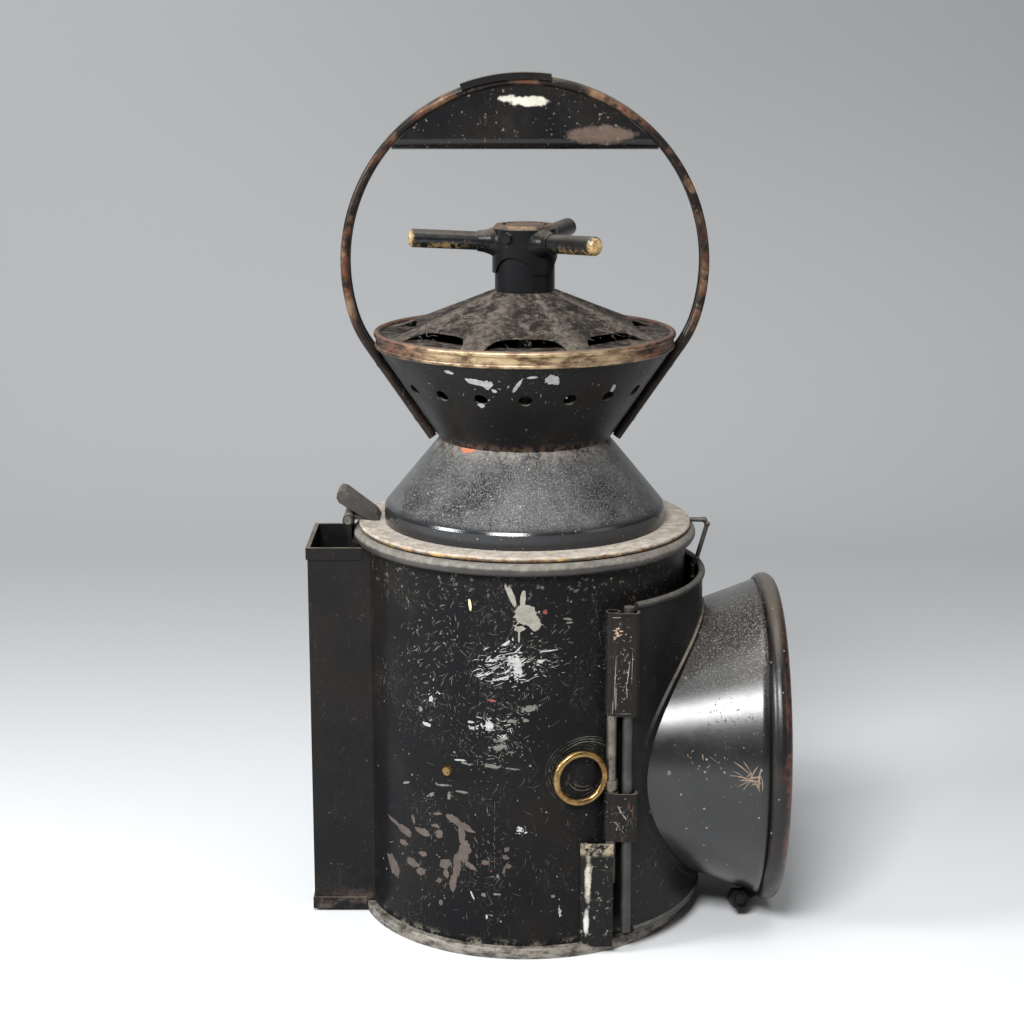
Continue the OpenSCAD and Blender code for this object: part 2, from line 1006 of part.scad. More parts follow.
// Spindle down the chimney, with the blade that turns the drum
module spindle() {
    blade_z0 = 131;
    color("#6f675c")
        union() {
            translate([0, 0, blade_z0 + 5])
                cylinder(r = 2.5, h = 266 - blade_z0 - 5, $fn = 48);
            translate([-13.5, -1.5, blade_z0])
                cube([27, 3, 6]);
            translate([0, 0, waist_z - 5.4])
                cylinder(r = 4.4, h = 2, $fn = 48);
        }
}

// ---------- lens door ----------

module door_panel() {
    color("#1f2124")
        difference() {
            union() {
                sector(door_ro, door_ri, -door_half - 1.5, door_half, door_z0, door_z1);
                sector(door_ro, body_r + 0.8, door_half - 0.8, door_half, door_z0 + 2, door_z1 - 2);
                sector(door_ro, body_r + 0.8, -door_half, -door_half + 0.8, door_z0 + 2, door_z1 - 2);
            }
            on_lens_axis()
                cylinder(r = hood_r0 - hood_t, h = 90);
            at_polar(roll_r, -door_half - 2.5)
                cylinder(r = near_roll + 0.02, h = far, $fn = 48);
        }
}

// Rolled edges of the door: along the top, along the bottom and down the near side
module door_edge_roll() {
    mid = (door_ri + door_ro) / 2;
    color("#4f4a44") {
        for (z = [door_z0 - door_roll, door_z1 + door_roll])
            rotate([0, 0, -door_half])
                rotate_extrude(angle = 2 * door_half)
                    translate([mid, z])
                        circle(r = door_roll, $fn = 32);
        at_polar(roll_r, -door_half - 2.5)
            translate([0, 0, door_z0 - door_roll])
                cylinder(r = near_roll, h = door_z1 - door_z0 + 2 * door_roll, $fn = 48);
    }
}

module door_hinge_knuckles() {
    color("#26282b")
        for (k = door_knuckles)
            difference() {
                union() {
                    at_polar(door_axis_r, door_axis_a)
                        translate([-0.15, -9, k[0]])
                            cube([1.2, 7.8, k[1] - k[0]]);
                    at_polar(door_axis_r, door_axis_a)
                        translate([0, 0, k[0]])
                            cylinder(r = knuckle_r, h = k[1] - k[0], $fn = 48);
                }
                at_polar(door_axis_r, door_axis_a)
                    cylinder(r = door_pin_r + run_gap, h = far, $fn = 48);
                on_lens_axis()
                    cylinder(r = hood_r0 + 2.6, h = 90);
            }
}

module lens_hood() {
    n = 96;
    rings = [
        [for (i = [0 : n - 1]) saddle_point(hood_r0, i * 360 / n)],
        [for (i = [0 : n - 1]) mouth_point(hood_r1, i * 360 / n)],
        [for (i = [0 : n - 1]) mouth_point(hood_r1 - hood_t, i * 360 / n)],
        [for (i = [0 : n - 1]) saddle_point(hood_r0 - hood_t, i * 360 / n)]
    ];
    sides = [for (k = [0 : 3]) for (i = [0 : n - 1]) let (j = (i + 1) % n, m = (k + 1) % 4)
        each [[k * n + i, k * n + j, m * n + i], [k * n + j, m * n + j, m * n + i]]];
    color("#55575b")
        polyhedron(points = [for (r = rings) each r], faces = sides);
}

// Flange that joins the hood to the door's panel
module hood_collar() {
    color("#2b2c2f")
        intersection() {
            sector(door_ro + 1, door_ro, -door_half, door_half, 5, 133);
            lens_tube(hood_r0 + 2.5, hood_r0 + 0.5, 0, 90);
        }
}

module bezel_ring() {
    color("#5a4236")
        difference() {
            on_lens_axis()
                rotate_extrude($fn = 144)
                    translate([bezel_mid, bezel_x])
                        circle(r = bezel_bead, $fn = 64);
            lens_tube(hood_r1 + 0.15, hood_r1 - hood_t - 0.75, 80, hood_x1 + 0.1);
            lens_tube(lens_r + 1, lens_r - 2, 80, bezel_x);
        }
}

module lens() {
    ball = (lens_r * lens_r + lens_bulge * lens_bulge) / (2 * lens_bulge);
    color("lightcyan", 0.4)
        on_lens_axis()
            rotate_extrude($fn = 144)
                union() {
                    translate([0, lens_x0])
                        square([lens_r, lens_edge]);
                    intersection() {
                        translate([0, lens_x0 + lens_edge + lens_bulge - ball])
                            circle(r = ball, $fn = 256);
                        translate([0, lens_x0 + lens_edge - 0.5])
                            square([lens_r, lens_bulge + 1]);
                    }
                }
}

module lens_seat() {
    color("gray")
        on_lens_axis() {
            tube(lens_r + 1, lens_r + 0.05, lens_x0 - 0.8, bezel_x);
            tube(lens_r + 1, lens_r - 3, lens_x0 - 0.8, lens_x0);
            rotate_extrude($fn = 144)
                translate([lens_r - 0.55, lens_x0 + lens_edge + 1.1])
                    circle(r = 0.6, $fn = 24);
        }
}

clamp_x = 84;
clamp_r = 64;
clamp_a = 19;

// Two lugs on the bezel, drawn together by a bolt and nut
module bezel_clamp() {
    color("#1a1a1b")
        difference() {
            translate([0, 0, lens_z])
                rotate([-clamp_a, 0, 0])
                    union() {
                        for (y = [1.2, -3])
                            translate([0, y + 1.8, 0])
                                rotate([90, 0, 0])
                                    linear_extrude(1.8)
                                        union() {
                                            translate([clamp_x, -clamp_r])
                                                circle(r = 2.9, $fn = 32);
                                            polygon([
                                                [clamp_x, -clamp_r - 2.8], [91, -bezel_mid - 2.6], [93, -bezel_mid],
                                                [91, -bezel_mid + 1.6], [clamp_x, -clamp_r + 2.8]
                                            ]);
                                        }
                        translate([clamp_x, 0, -clamp_r])
                            rotate([90, 0, 0]) {
                                cylinder(r = 1.8, h = 20, center = true, $fn = 32);
                                translate([0, 0, 3])
                                    cylinder(r = 3.9, h = 4, $fn = 6);
                                translate([0, 0, -7])
                                    cylinder(r = 3.9, h = 4, $fn = 6);
                            }
                    }
            on_lens_axis()
                rotate_extrude($fn = 144)
                    translate([bezel_mid, bezel_x])
                        circle(r = bezel_bead + 0.02, $fn = 64);
            on_lens_axis()
                translate([0, 0, 60])
                    cylinder(r1 = 50.4, r2 = hood_r1 + 0.15, h = hood_x1 - 60);
        }
}

// Guides on the door that the latch pin slides in, each a tube with a leaf to the panel
module latch_guides() {
    edge_a = -door_half - 2.5;
    color("#35322f")
        for (k = guide_z)
            difference() {
                union() {
                    translate([pin_x, pin_y, k[0]])
                        cylinder(r = 2.75, h = k[1] - k[0], $fn = 48);
                    translate([0, 0, k[0]])
                        linear_extrude(k[1] - k[0])
                            polygon([
                                [31.6, -58.3], [31.8, -59.6], [33.6, -60.4], [40.4, -60.4], [41.6, -59.4],
                                [41.8, -54.6], [40.8, -54.6], [40.6, -58.6], [40, -59.5], [34, -59.5], [32.8, -58.6]
                            ]);
                }
                translate([pin_x, pin_y, 0])
                    cylinder(r = pin_r + run_gap, h = far, $fn = 48);
                at_polar(roll_r, edge_a)
                    cylinder(r = near_roll + 0.05, h = far, $fn = 48);
                sector(door_ro + 0.02, door_ri - 2, -door_half - 2, -40, 0, far);
                on_lens_axis()
                    cylinder(r = hood_r0 + 2.55, h = 90);
            }
}

ring_r = 9.4;
ring_wire = 1.3;
ring_a = -71.5;
ring_at = 64.5;
ring_z = 70.6;

// Sliding latch pin with its brazed pull ring
module latch_pin() {
    pin_z0 = 28;
    color("#6b6459")
        union() {
            translate([pin_x, pin_y, pin_z0])
                cylinder(r = pin_r, h = 84, $fn = 48);
            translate([pin_x, pin_y, 65])
                cylinder(r = 2.55, h = 3.6, $fn = 48);
        }
}

// Ring that lifts the pin, brazed to its collar
module pull_ring() {
    color("darkgoldenrod")
        difference() {
            at_polar(ring_at, ring_a)
                translate([0, 0, ring_z])
                    rotate([0, 90, 0])
                        rotate_extrude()
                            translate([ring_r, 0])
                                circle(r = ring_wire, $fn = 32);
            translate([pin_x, pin_y, 40])
                cylinder(r = 2.57, h = 60, $fn = 48);
        }
}

// ---------- what is drawn ----------
base_pan();
base_rim();
body_shell();
shell_top_bead();
body_rivets();
bracket_socket();
socket_bands();
lid_hinge_bracket();
lid_hinge_pin();
door_hinge_leaf();
door_hinge_pin();
latch_strip();
drum_track();
burner_tray();
oil_reservoir();
burner_collar();
wick_tube();
burner_cone();
reflector();
reflector_bracket();
filler_cap();
wick();
wick_shaft();
wick_knob();
drum_frame();
drum_bottom_ring();
drum_top_ring();
drum_bridge();
red_glass();
green_glass();
glass_clips();
lid_flange();
lid_collar();
lower_cone();
chimney_bowl();
bowl_rim();
crown_cap();
neck_tube();
spindle_guide();
handle_hoop();
handle_rivets();
hand_grip();
grip_clip();
thumb_lever();
lid_catch_wire();
turn_knob();
knob_arms();
spindle();
door_panel();
door_edge_roll();
door_hinge_knuckles();
lens_hood();
hood_collar();
bezel_ring();
lens();
lens_seat();
bezel_clamp();
latch_guides();
latch_pin();
pull_ring();
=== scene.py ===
import math
import random

import bpy
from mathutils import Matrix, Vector


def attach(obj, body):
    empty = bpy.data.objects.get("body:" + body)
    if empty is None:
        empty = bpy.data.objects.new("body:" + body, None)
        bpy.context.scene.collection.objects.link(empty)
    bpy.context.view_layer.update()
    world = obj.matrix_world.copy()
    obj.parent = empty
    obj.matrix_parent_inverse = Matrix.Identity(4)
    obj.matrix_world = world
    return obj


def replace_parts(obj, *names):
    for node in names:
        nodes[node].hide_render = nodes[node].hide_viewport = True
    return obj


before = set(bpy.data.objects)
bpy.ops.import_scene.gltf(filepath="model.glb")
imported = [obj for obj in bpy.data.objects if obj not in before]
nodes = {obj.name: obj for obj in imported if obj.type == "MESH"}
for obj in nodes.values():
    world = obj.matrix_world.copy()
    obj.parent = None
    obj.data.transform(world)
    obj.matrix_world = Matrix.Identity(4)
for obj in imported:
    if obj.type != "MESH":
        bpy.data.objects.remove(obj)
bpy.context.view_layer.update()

MM = 0.001


# ---------------------------------------------------------------- node helpers
class Mat:
    """A procedural material, built from short helper calls.

    Positions are in millimetres in the row frame, with every joint at rest.
    """

    def __init__(self, name):
        self.mat = bpy.data.materials.new(name)
        self.mat.use_nodes = True
        self.nodes = self.mat.node_tree.nodes
        self.links = self.mat.node_tree.links
        self.nodes.clear()
        out = self.nodes.new("ShaderNodeOutputMaterial")
        self.bsdf = self.nodes.new("ShaderNodeBsdfPrincipled")
        self.links.new(self.bsdf.outputs[0], out.inputs[0])
        co = self.nodes.new("ShaderNodeTexCoord")
        scale = self.nodes.new("ShaderNodeVectorMath")
        scale.operation = "SCALE"
        scale.inputs[3].default_value = 1.0 / MM
        self.links.new(co.outputs["Object"], scale.inputs[0])
        self.p = scale.outputs[0]
        sep = self.nodes.new("ShaderNodeSeparateXYZ")
        self.links.new(self.p, sep.inputs[0])
        self.x, self.y, self.z = sep.outputs
        geo = self.nodes.new("ShaderNodeNewGeometry")
        nsep = self.nodes.new("ShaderNodeSeparateXYZ")
        self.links.new(geo.outputs["Normal"], nsep.inputs[0])
        self.nz = nsep.outputs[2]

    def put(self, socket, value):
        if isinstance(value, (int, float)):
            socket.default_value = value
        elif isinstance(value, (tuple, list)):
            n = len(socket.default_value)
            socket.default_value = (tuple(value) + (1.0,))[:n]
        else:
            self.links.new(value, socket)

    def math(self, op, a, b=0.0, c=0.0, clamp=False):
        n = self.nodes.new("ShaderNodeMath")
        n.operation = op
        n.use_clamp = clamp
        self.put(n.inputs[0], a)
        self.put(n.inputs[1], b)
        if op == "MULTIPLY_ADD":
            self.put(n.inputs[2], c)
        return n.outputs[0]

    def step(self, v, lo, hi, a=0.0, b=1.0):
        """v mapped smoothly from lo..hi to a..b."""
        n = self.nodes.new("ShaderNodeMapRange")
        n.interpolation_type = "SMOOTHSTEP"
        for i, x in enumerate((v, lo, hi, a, b)):
            self.put(n.inputs[i], x)
        return n.outputs[0]

    def spread(self, scale, stretch, offset, slant):
        """Position in units of scale millimetres, turned by slant degrees as seen from the front."""
        m = self.nodes.new("ShaderNodeMapping")
        m.vector_type = "TEXTURE"
        self.links.new(self.p, m.inputs[0])
        m.inputs[1].default_value = tuple(-o * scale * s for o, s in zip(offset, stretch))
        m.inputs[2].default_value = (0, math.radians(slant), 0)
        m.inputs[3].default_value = tuple(scale * s for s in stretch)
        return m.outputs[0]

    def noise(self, scale, detail, rough, stretch=(1, 1, 1), offset=(0, 0, 0), distort=0.0, slant=0):
        """Noise with features about scale millimetres wide."""
        n = self.nodes.new("ShaderNodeTexNoise")
        self.links.new(self.spread(scale, stretch, offset, slant), n.inputs["Vector"])
        n.inputs["Scale"].default_value = 1.0
        n.inputs["Detail"].default_value = detail
        n.inputs["Roughness"].default_value = rough
        n.inputs["Distortion"].default_value = distort
        return n.outputs[0]

    def cells(self, scale, offset=(0, 0, 0)):
        """Distance to the nearest scattered point, in units of scale millimetres."""
        n = self.nodes.new("ShaderNodeTexVoronoi")
        self.links.new(self.spread(scale, (1, 1, 1), offset, 0), n.inputs["Vector"])
        n.inputs["Scale"].default_value = 1.0
        return n.outputs["Distance"]

    def strokes(self, slant, length, width, much, offset=(0, 0, 0)):
        """Short fine strokes that all lie at one slant."""
        n = self.noise(width, 2, 0.5, stretch=(length / width, 2.0, 1), offset=offset, slant=slant)
        return self.step(n, much, much + 0.035)

    def near(self, centre, radius, soft, stretch, ragged, grain):
        """1 within radius of a point, 0 beyond it; the edge is broken up by ragged millimetres."""
        d = self.nodes.new("ShaderNodeVectorMath")
        d.operation = "SUBTRACT"
        self.put(d.inputs[0], self.p)
        self.put(d.inputs[1], tuple(centre))
        s = self.nodes.new("ShaderNodeVectorMath")
        s.operation = "MULTIPLY"
        self.links.new(d.outputs[0], s.inputs[0])
        self.put(s.inputs[1], tuple(1.0 / k for k in stretch))
        ln = self.nodes.new("ShaderNodeVectorMath")
        ln.operation = "LENGTH"
        self.links.new(s.outputs[0], ln.inputs[0])
        dist = ln.outputs["Value"]
        n = self.noise(grain, 5.0, 0.7, offset=tuple(c * 0.13 for c in centre))
        dist = self.math("MULTIPLY_ADD", self.math("SUBTRACT", n, 0.5), ragged * 2, dist)
        return self.step(dist, radius + soft, radius - soft)

    def mix(self, factor, a, b):
        n = self.nodes.new("ShaderNodeMix")
        n.data_type = "RGBA"
        self.put(n.inputs[0], factor)
        self.put(n.inputs[6], a)
        self.put(n.inputs[7], b)
        return n.outputs[2]

    def lerp(self, factor, a, b):
        n = self.nodes.new("ShaderNodeMix")
        self.put(n.inputs[0], factor)
        self.put(n.inputs[2], a)
        self.put(n.inputs[3], b)
        return n.outputs[0]

    def mul(self, a, b):
        return self.math("MULTIPLY", a, b)

    def add(self, a, b, clamp=True):
        return self.math("ADD", a, b, clamp=clamp)

    def bump(self, height, strength, distance):
        n = self.nodes.new("ShaderNodeBump")
        n.inputs["Strength"].default_value = strength
        n.inputs["Distance"].default_value = distance * MM
        self.put(n.inputs["Height"], height)
        self.links.new(n.outputs[0], self.bsdf.inputs["Normal"])

    def radius(self):
        return self.math("SQRT", self.add(self.mul(self.x, self.x), self.mul(self.y, self.y), clamp=False))

    def finish(self, colour, rough, metal=0.0, coat=0.0, coat_rough=0.1, spec=0.5):
        self.put(self.bsdf.inputs["Base Color"], colour)
        self.put(self.bsdf.inputs["Roughness"], rough)
        self.put(self.bsdf.inputs["Metallic"], metal)
        self.bsdf.inputs["Specular IOR Level"].default_value = spec
        self.bsdf.inputs["Coat Weight"].default_value = coat
        self.bsdf.inputs["Coat Roughness"].default_value = coat_rough
        return self.mat


# Sizes of the CAD parts that the marks and the finer hood follow, in millimetres
BODY_R = 62.0
BODY_LOW, BODY_HIGH = 4.2, 145.0
BOWL_LOW, BOWL_HIGH = 187.5, 222.0
BOWL_FOOT_Z, BOWL_FOOT_R, BOWL_FLARE, BOWL_RISE = 187.0, 32.5, 23.5, 35.0
DOOR_R = 69.2
HOOD_R0, HOOD_R1, HOOD_X1, HOOD_Z, HOOD_T = 53.0, 62.0, 91.2, 66.3, 0.8
GUIDE_Y = -60.4
CROWN_TOP_Z, CROWN_TOP_R, CROWN_DROP, CROWN_RUN = 243.0, 12.0, 16.2, 38.5
SCALE_T = 0.03

BLACK = (0.0060, 0.0062, 0.0068)
BLACK_WARM = (0.0115, 0.0100, 0.0088)
DUST = (0.26, 0.225, 0.18)
DUST_DARK = (0.055, 0.046, 0.037)
COPPER = (0.135, 0.058, 0.034)
BRASS = (0.50, 0.33, 0.12)


def flecks(m, grain, lo, hi, offset=(0, 0, 0), detail=5, rough=0.7):
    """Ragged islands of noise, grain millimetres wide."""
    return m.step(m.noise(grain, detail, rough, offset=offset), lo, hi)


def paint(name, patches=(), dust=0.35, speck=0.5, edge=None, gloss=0.33, tint=BLACK, spec=0.13, wiped=0.08):
    """Black japan over tinplate: orange-peel gloss, fine scratches, specks, chips, and dust on what faces up.
    patches are (mask maker, colour, roughness); edge is a mask maker for metal worn through."""
    m = Mat(name)
    cloud = m.noise(38, 5, 0.6)
    fine = m.noise(2.2, 4, 0.65)
    col = m.mix(m.step(cloud, 0.40, 0.72), tint, BLACK_WARM)
    rough = m.math("MULTIPLY_ADD", m.math("SUBTRACT", m.noise(16, 6, 0.65), 0.5), 0.30, gloss)
    # wiped film of dust that breaks the gloss up
    film = m.step(m.noise(24, 6, 0.7, stretch=(1, 1, 1.6)), 0.50, 0.78)
    col = m.mix(m.mul(film, wiped), col, DUST_DARK)
    rough = m.math("MULTIPLY_ADD", film, 0.16, rough)
    # fine scratches at three slants, gathered where the paint is handled
    where = m.step(m.noise(19, 4, 0.65, offset=(3, 1, 7)), 0.46, 0.64)
    scr = m.add(m.strokes(-62, 5, 0.35, 0.655), m.strokes(-18, 4, 0.35, 0.665, offset=(4, 4, 1)))
    scr = m.add(scr, m.strokes(80, 7, 0.3, 0.665, offset=(1, 7, 5)))
    scr = m.mul(scr, m.mul(where, speck))
    col = m.mix(m.mul(scr, 0.55), col, (0.15, 0.145, 0.13))
    # specks where the paint has popped
    dots = m.step(m.cells(4.2, offset=(1.3, 0.4, 2.2)), 0.105, 0.075)
    dots = m.mul(dots, m.step(m.noise(15, 3, 0.6, offset=(7, 2, 1)), 0.50, 0.60))
    tiny = m.step(m.cells(1.9, offset=(5.3, 2.4, 0.2)), 0.14, 0.10)
    tiny = m.mul(tiny, m.step(m.noise(11, 4, 0.7, offset=(2, 8, 3)), 0.53, 0.64))
    dots = m.mul(m.add(dots, m.mul(tiny, 0.7)), speck)
    col = m.mix(dots, col, (0.24, 0.23, 0.205))
    height = m.math("MULTIPLY_ADD", fine, 0.35, m.mul(m.noise(9, 3, 0.5), 0.9))
    height = m.math("MULTIPLY_ADD", dots, -0.8, height)
    metal = 0.0
    for make, pc, pr in patches:
        mask = make(m)
        shade = m.mix(m.step(m.noise(3.0, 4, 0.7), 0.35, 0.7), tuple(c * 0.72 for c in pc), pc)
        col = m.mix(mask, col, shade)
        rough = m.lerp(mask, rough, pr)
        height = m.math("MULTIPLY_ADD", mask, -1.4, height)
    if edge is not None:
        mask = edge(m)
        worn = m.mix(m.step(m.noise(7, 5, 0.7), 0.42, 0.62), COPPER, (0.24, 0.15, 0.09))
        col = m.mix(mask, col, worn)
        rough = m.lerp(mask, rough, 0.42)
        metal = m.mul(mask, 0.55)
    up = m.step(m.nz, 0.35, 0.95)
    grain = m.math("MULTIPLY_ADD", m.noise(1.4, 3, 0.7), 0.5, m.mul(m.noise(11, 4, 0.6), 0.75))
    d = m.mul(m.mul(up, m.step(grain, 0.36, 0.72)), dust)
    col = m.mix(d, col, DUST)
    rough = m.lerp(d, rough, 0.9)
    height = m.math("MULTIPLY_ADD", d, 0.8, height)
    m.bump(height, 0.22, 0.35)
    return m.finish(col, rough, metal, spec=spec)


# ---------------------------------------------------------------- materials
# Chips and scrapes on the front of the body: (x, z, half width, half height, slant), millimetres and degrees.
# The six tables from PRIMER to RED_MARKS are the output of a program.
PRIMER = (
    (-5.4, 141.1, 1.08, 5.23, -21), (-0.9, 138.7, 0.99, 3.79, 3),
    (0.2, 133.3, 4.07, 3.79, 10), (3.1, 130.4, 2.35, 3.26, -8),
    (-2.1, 128.0, 1.99, 1.00, 0), (-2.3, 125.3, 0.36, 2.54, 0),
)
WHITE_MARKS = (
    (-2.7, 113.9, 2.46, 4.73, -8), (-4.2, 116.2, 3.27, 1.82, 0),
    (-7.1, 122.3, 2.54, 0.64, -30), (5.4, 115.7, 2.18, 0.82, -12),
    (-13.1, 90.8, 2.58, 1.84, 25), (-19.6, 89.2, 1.57, 0.83, 0),
    (-20.0, 91.5, 1.29, 0.46, 0), (-34.8, 98.0, 0.65, 1.30, 15),
    (-36.5, 87.7, 1.68, 0.65, 10), (-7.5, 86.7, 1.11, 1.29, 0),
    (-1.8, 50.8, 1.22, 1.40, 20), (0.3, 49.6, 0.47, 0.37, 0),
    (13.0, 17.2, 0.57, 2.86, -3), (-19.7, 23.4, 0.38, 1.62, -20),
    (-14.3, 15.3, 0.38, 0.95, 0), (-24.0, 76.2, 1.86, 0.37, -5),
    (8.3, 119.6, 3.09, 0.27, -6), (-8.9, 109.0, 5.48, 0.55, -18),
    (-15.3, 110.0, 4.11, 0.46, -20), (-11.6, 115.9, 4.55, 0.46, -15),
)
GREY_MARKS = (
    (-9.4, 82.5, 3.14, 1.85, -15), (1.6, 97.7, 4.03, 1.83, -12),
    (-4.8, 92.9, 2.94, 1.10, -5), (-8.5, 85.7, 2.76, 1.29, -20),
    (-12.2, 75.1, 4.45, 1.20, 4), (-4.4, 74.4, 4.44, 0.37, 4),
    (-22.4, 75.3, 2.23, 0.65, 15), (-38.8, 93.1, 0.65, 1.21, 0),
    (15.4, 131.2, 1.63, 0.45, 15), (16.0, 129.8, 1.27, 0.36, 0),
    (-30.5, 65.2, 4.32, 0.56, -10), (-34.9, 60.6, 2.08, 0.76, -40),
    (-28.2, 61.3, 1.03, 2.07, 10), (-23.4, 63.8, 2.24, 0.47, 0),
    (-44.7, 62.1, 1.53, 0.48, -30), (-10.5, 24.7, 1.33, 0.47, 0),
    (-15.4, 24.0, 1.14, 1.23, 0), (-10.1, 31.9, 0.47, 0.94, 0),
    (10.5, 23.9, 0.76, 0.57, 0), (0.2, 93.2, 1.10, 0.73, 0),
)
BROWN_MARKS = (
    (-26.8, 52.6, 2.83, 1.41, 20), (-22.9, 50.3, 4.33, 1.22, 20),
    (-23.6, 46.8, 1.13, 3.96, 0), (-22.6, 40.5, 2.36, 3.97, 5),
    (-25.4, 34.3, 1.42, 5.70, 5), (-26.9, 27.2, 1.33, 3.34, 5),
    (-20.6, 35.1, 2.65, 1.04, 35), (-29.8, 34.1, 2.57, 1.62, -15),
    (-29.6, 30.3, 1.05, 1.72, 0), (-50.0, 44.3, 2.52, 0.77, 25),
    (-45.4, 42.5, 2.89, 1.64, 20), (-38.4, 44.6, 2.86, 1.43, 0),
    (-32.0, 45.5, 1.42, 1.61, 0), (-46.0, 37.4, 1.45, 1.26, 10),
    (-50.3, 26.0, 2.15, 3.71, -25), (-42.6, 30.7, 2.41, 1.64, 15),
    (-38.5, 35.7, 1.53, 1.05, -15), (-39.4, 28.3, 1.73, 1.44, 0),
    (-33.5, 48.4, 1.61, 0.66, -10), (-32.9, 53.3, 1.61, 0.57, -15),
    (-14.7, 37.0, 1.51, 0.94, 0), (-6.8, 42.8, 0.94, 0.94, 0),
    (-7.2, 39.6, 1.04, 1.04, 0), (-6.3, 36.1, 1.23, 0.85, 0), (-7.8, 34.4, 0.47, 1.70, 8),
    (-32.2, 26.9, 0.96, 0.96, 0), (-42.1, 48.5, 0.57, 1.91, -10),
    (-31.7, 18.0, 0.77, 1.15, 0),
)
CREAM_MARKS = (
    (-20.1, 136.1, 0.54, 2.27, -8),
)
RED_MARKS = (
    (-12.1, 100.4, 1.56, 0.55, 0), (7.2, 134.3, 0.90, 0.81, 0),
    (-12.7, 33.7, 0.38, 0.38, 0),
)


def body_patches():
    return (
        (ring_scuff, (0.060, 0.054, 0.044), 0.5),
        (lambda m: m.mul(m.step(m.z, 7.5, 4.2), flecks(m, 5, 0.50, 0.60)), (0.16, 0.15, 0.125), 0.7),
        (top_wear, (0.11, 0.10, 0.085), 0.7),
    )


def top_wear(m):
    """Fine wear under the body's top bead."""
    return m.mul(m.step(m.z, 126, 146), flecks(m, 2.4, 0.585, 0.625, rough=0.72))


def ring_scuff(m):
    """Arc worn into the paint by the hanging ring."""
    d = m.nodes.new("ShaderNodeVectorMath")
    d.operation = "DISTANCE"
    m.put(d.inputs[0], m.p)
    m.put(d.inputs[1], (20.1, -59.0, 72.0))
    r = d.outputs["Value"]
    band = m.mul(m.step(r, 8.6, 9.6), m.step(r, 14.2, 12.6))
    wave = m.math("SINE", m.mul(r, 5.5))
    return m.mul(m.mul(band, m.step(wave, 0.1, 0.9)), m.step(m.noise(4, 5, 0.7), 0.40, 0.62))


BODY = paint("body_paint", body_patches(), dust=0.34, speck=0.8, gloss=0.31, spec=0.07, wiped=0.10)
BLACK_PAINT = paint("black_paint", (
    (lambda m: m.mul(flecks(m, 3.4, 0.645, 0.675, (5, 5, 5)), flecks(m, 26, 0.5, 0.6, (0, 0, 0), 2, 0.5)),
     (0.22, 0.20, 0.17), 0.6),
), dust=0.55, speck=0.5)


def socket_rust(m):
    """Thin rust on the far face of the bracket socket."""
    return m.mul(m.step(m.x, -77, -83.5), m.step(m.noise(5, 6, 0.7, stretch=(1, 1, 2)), 0.58, 0.70))


SOCKET = paint("socket_paint", (
    (socket_rust, (0.055, 0.035, 0.025), 0.6),
    (lambda m: m.mul(m.step(m.z, 12, 3), flecks(m, 6, 0.42, 0.6)), (0.075, 0.055, 0.045), 0.6),
), dust=0.5, speck=0.25, gloss=0.36)


def dusty(name, base, dust_colour, amount=0.9, wear=None, fuzz=0.6, patchy=1.5):
    """Metal under a coat of settled dust, thick on what faces up, with the metal showing on the edges."""
    m = Mat(name)
    blotch = m.noise(14, 6, 0.65)
    grit = m.noise(0.9, 4, 0.75)
    clump = m.noise(3.2, 5, 0.7, offset=(2, 9, 4))
    under = m.mix(m.step(blotch, 0.35, 0.7), base, tuple(c * 1.9 for c in base))
    light = m.mix(m.step(clump, 0.34, 0.68), tuple(c * 0.55 for c in dust_colour), dust_colour)
    light = m.mix(m.mul(m.step(grit, 0.56, 0.70), 0.6), light, tuple(min(1.0, c * 1.55) for c in dust_colour))
    up = m.step(m.nz, -0.15, 0.75)
    lay = m.math("MULTIPLY_ADD", m.math("SUBTRACT", blotch, 0.5), patchy, up)
    lay = m.math("MULTIPLY_ADD", m.math("SUBTRACT", clump, 0.5), patchy * 0.6, lay)
    mask = m.mul(m.step(lay, 0.05, 0.75), amount)
    col = m.mix(mask, under, light)
    rough = m.lerp(mask, 0.42, 0.93)
    metal = 0.0
    if wear is not None:
        w = wear(m)
        col = m.mix(w, col, m.mix(m.step(m.noise(6, 4, 0.6), 0.4, 0.6), COPPER, BRASS))
        rough = m.lerp(w, rough, 0.4)
        metal = m.mul(w, 0.6)
    h = m.math("MULTIPLY_ADD", grit, fuzz, m.mul(clump, fuzz * 1.6))
    m.bump(m.mul(h, m.math("MULTIPLY_ADD", mask, 0.85, 0.15)), 0.55, 0.7)
    return m.finish(col, rough, metal)


def metal_piece(name, base, worn, rough0=0.34, black=0.0, grime=0.5):
    """Bare or half-bare metal: patches of finish, grime in the hollows, fine rubbing marks."""
    m = Mat(name)
    a = m.noise(8, 6, 0.65)
    b = m.noise(1.6, 4, 0.7)
    c = m.noise(22, 4, 0.6, offset=(4, 2, 8))
    col = m.mix(m.step(a, 0.36, 0.66), base, worn)
    col = m.mix(m.mul(m.step(b, 0.50, 0.68), grime), col, (0.035, 0.028, 0.02))
    skin = m.mul(m.step(c, 0.44, 0.56), black)
    col = m.mix(skin, col, BLACK)
    rough = m.math("MULTIPLY_ADD", m.math("SUBTRACT", b, 0.4), 0.5, rough0, clamp=True)
    metal = m.lerp(skin, 0.95, 0.05)
    m.bump(m.math("MULTIPLY_ADD", b, 0.5, m.mul(a, 0.8)), 0.3, 0.25)
    return m.finish(col, rough, metal)


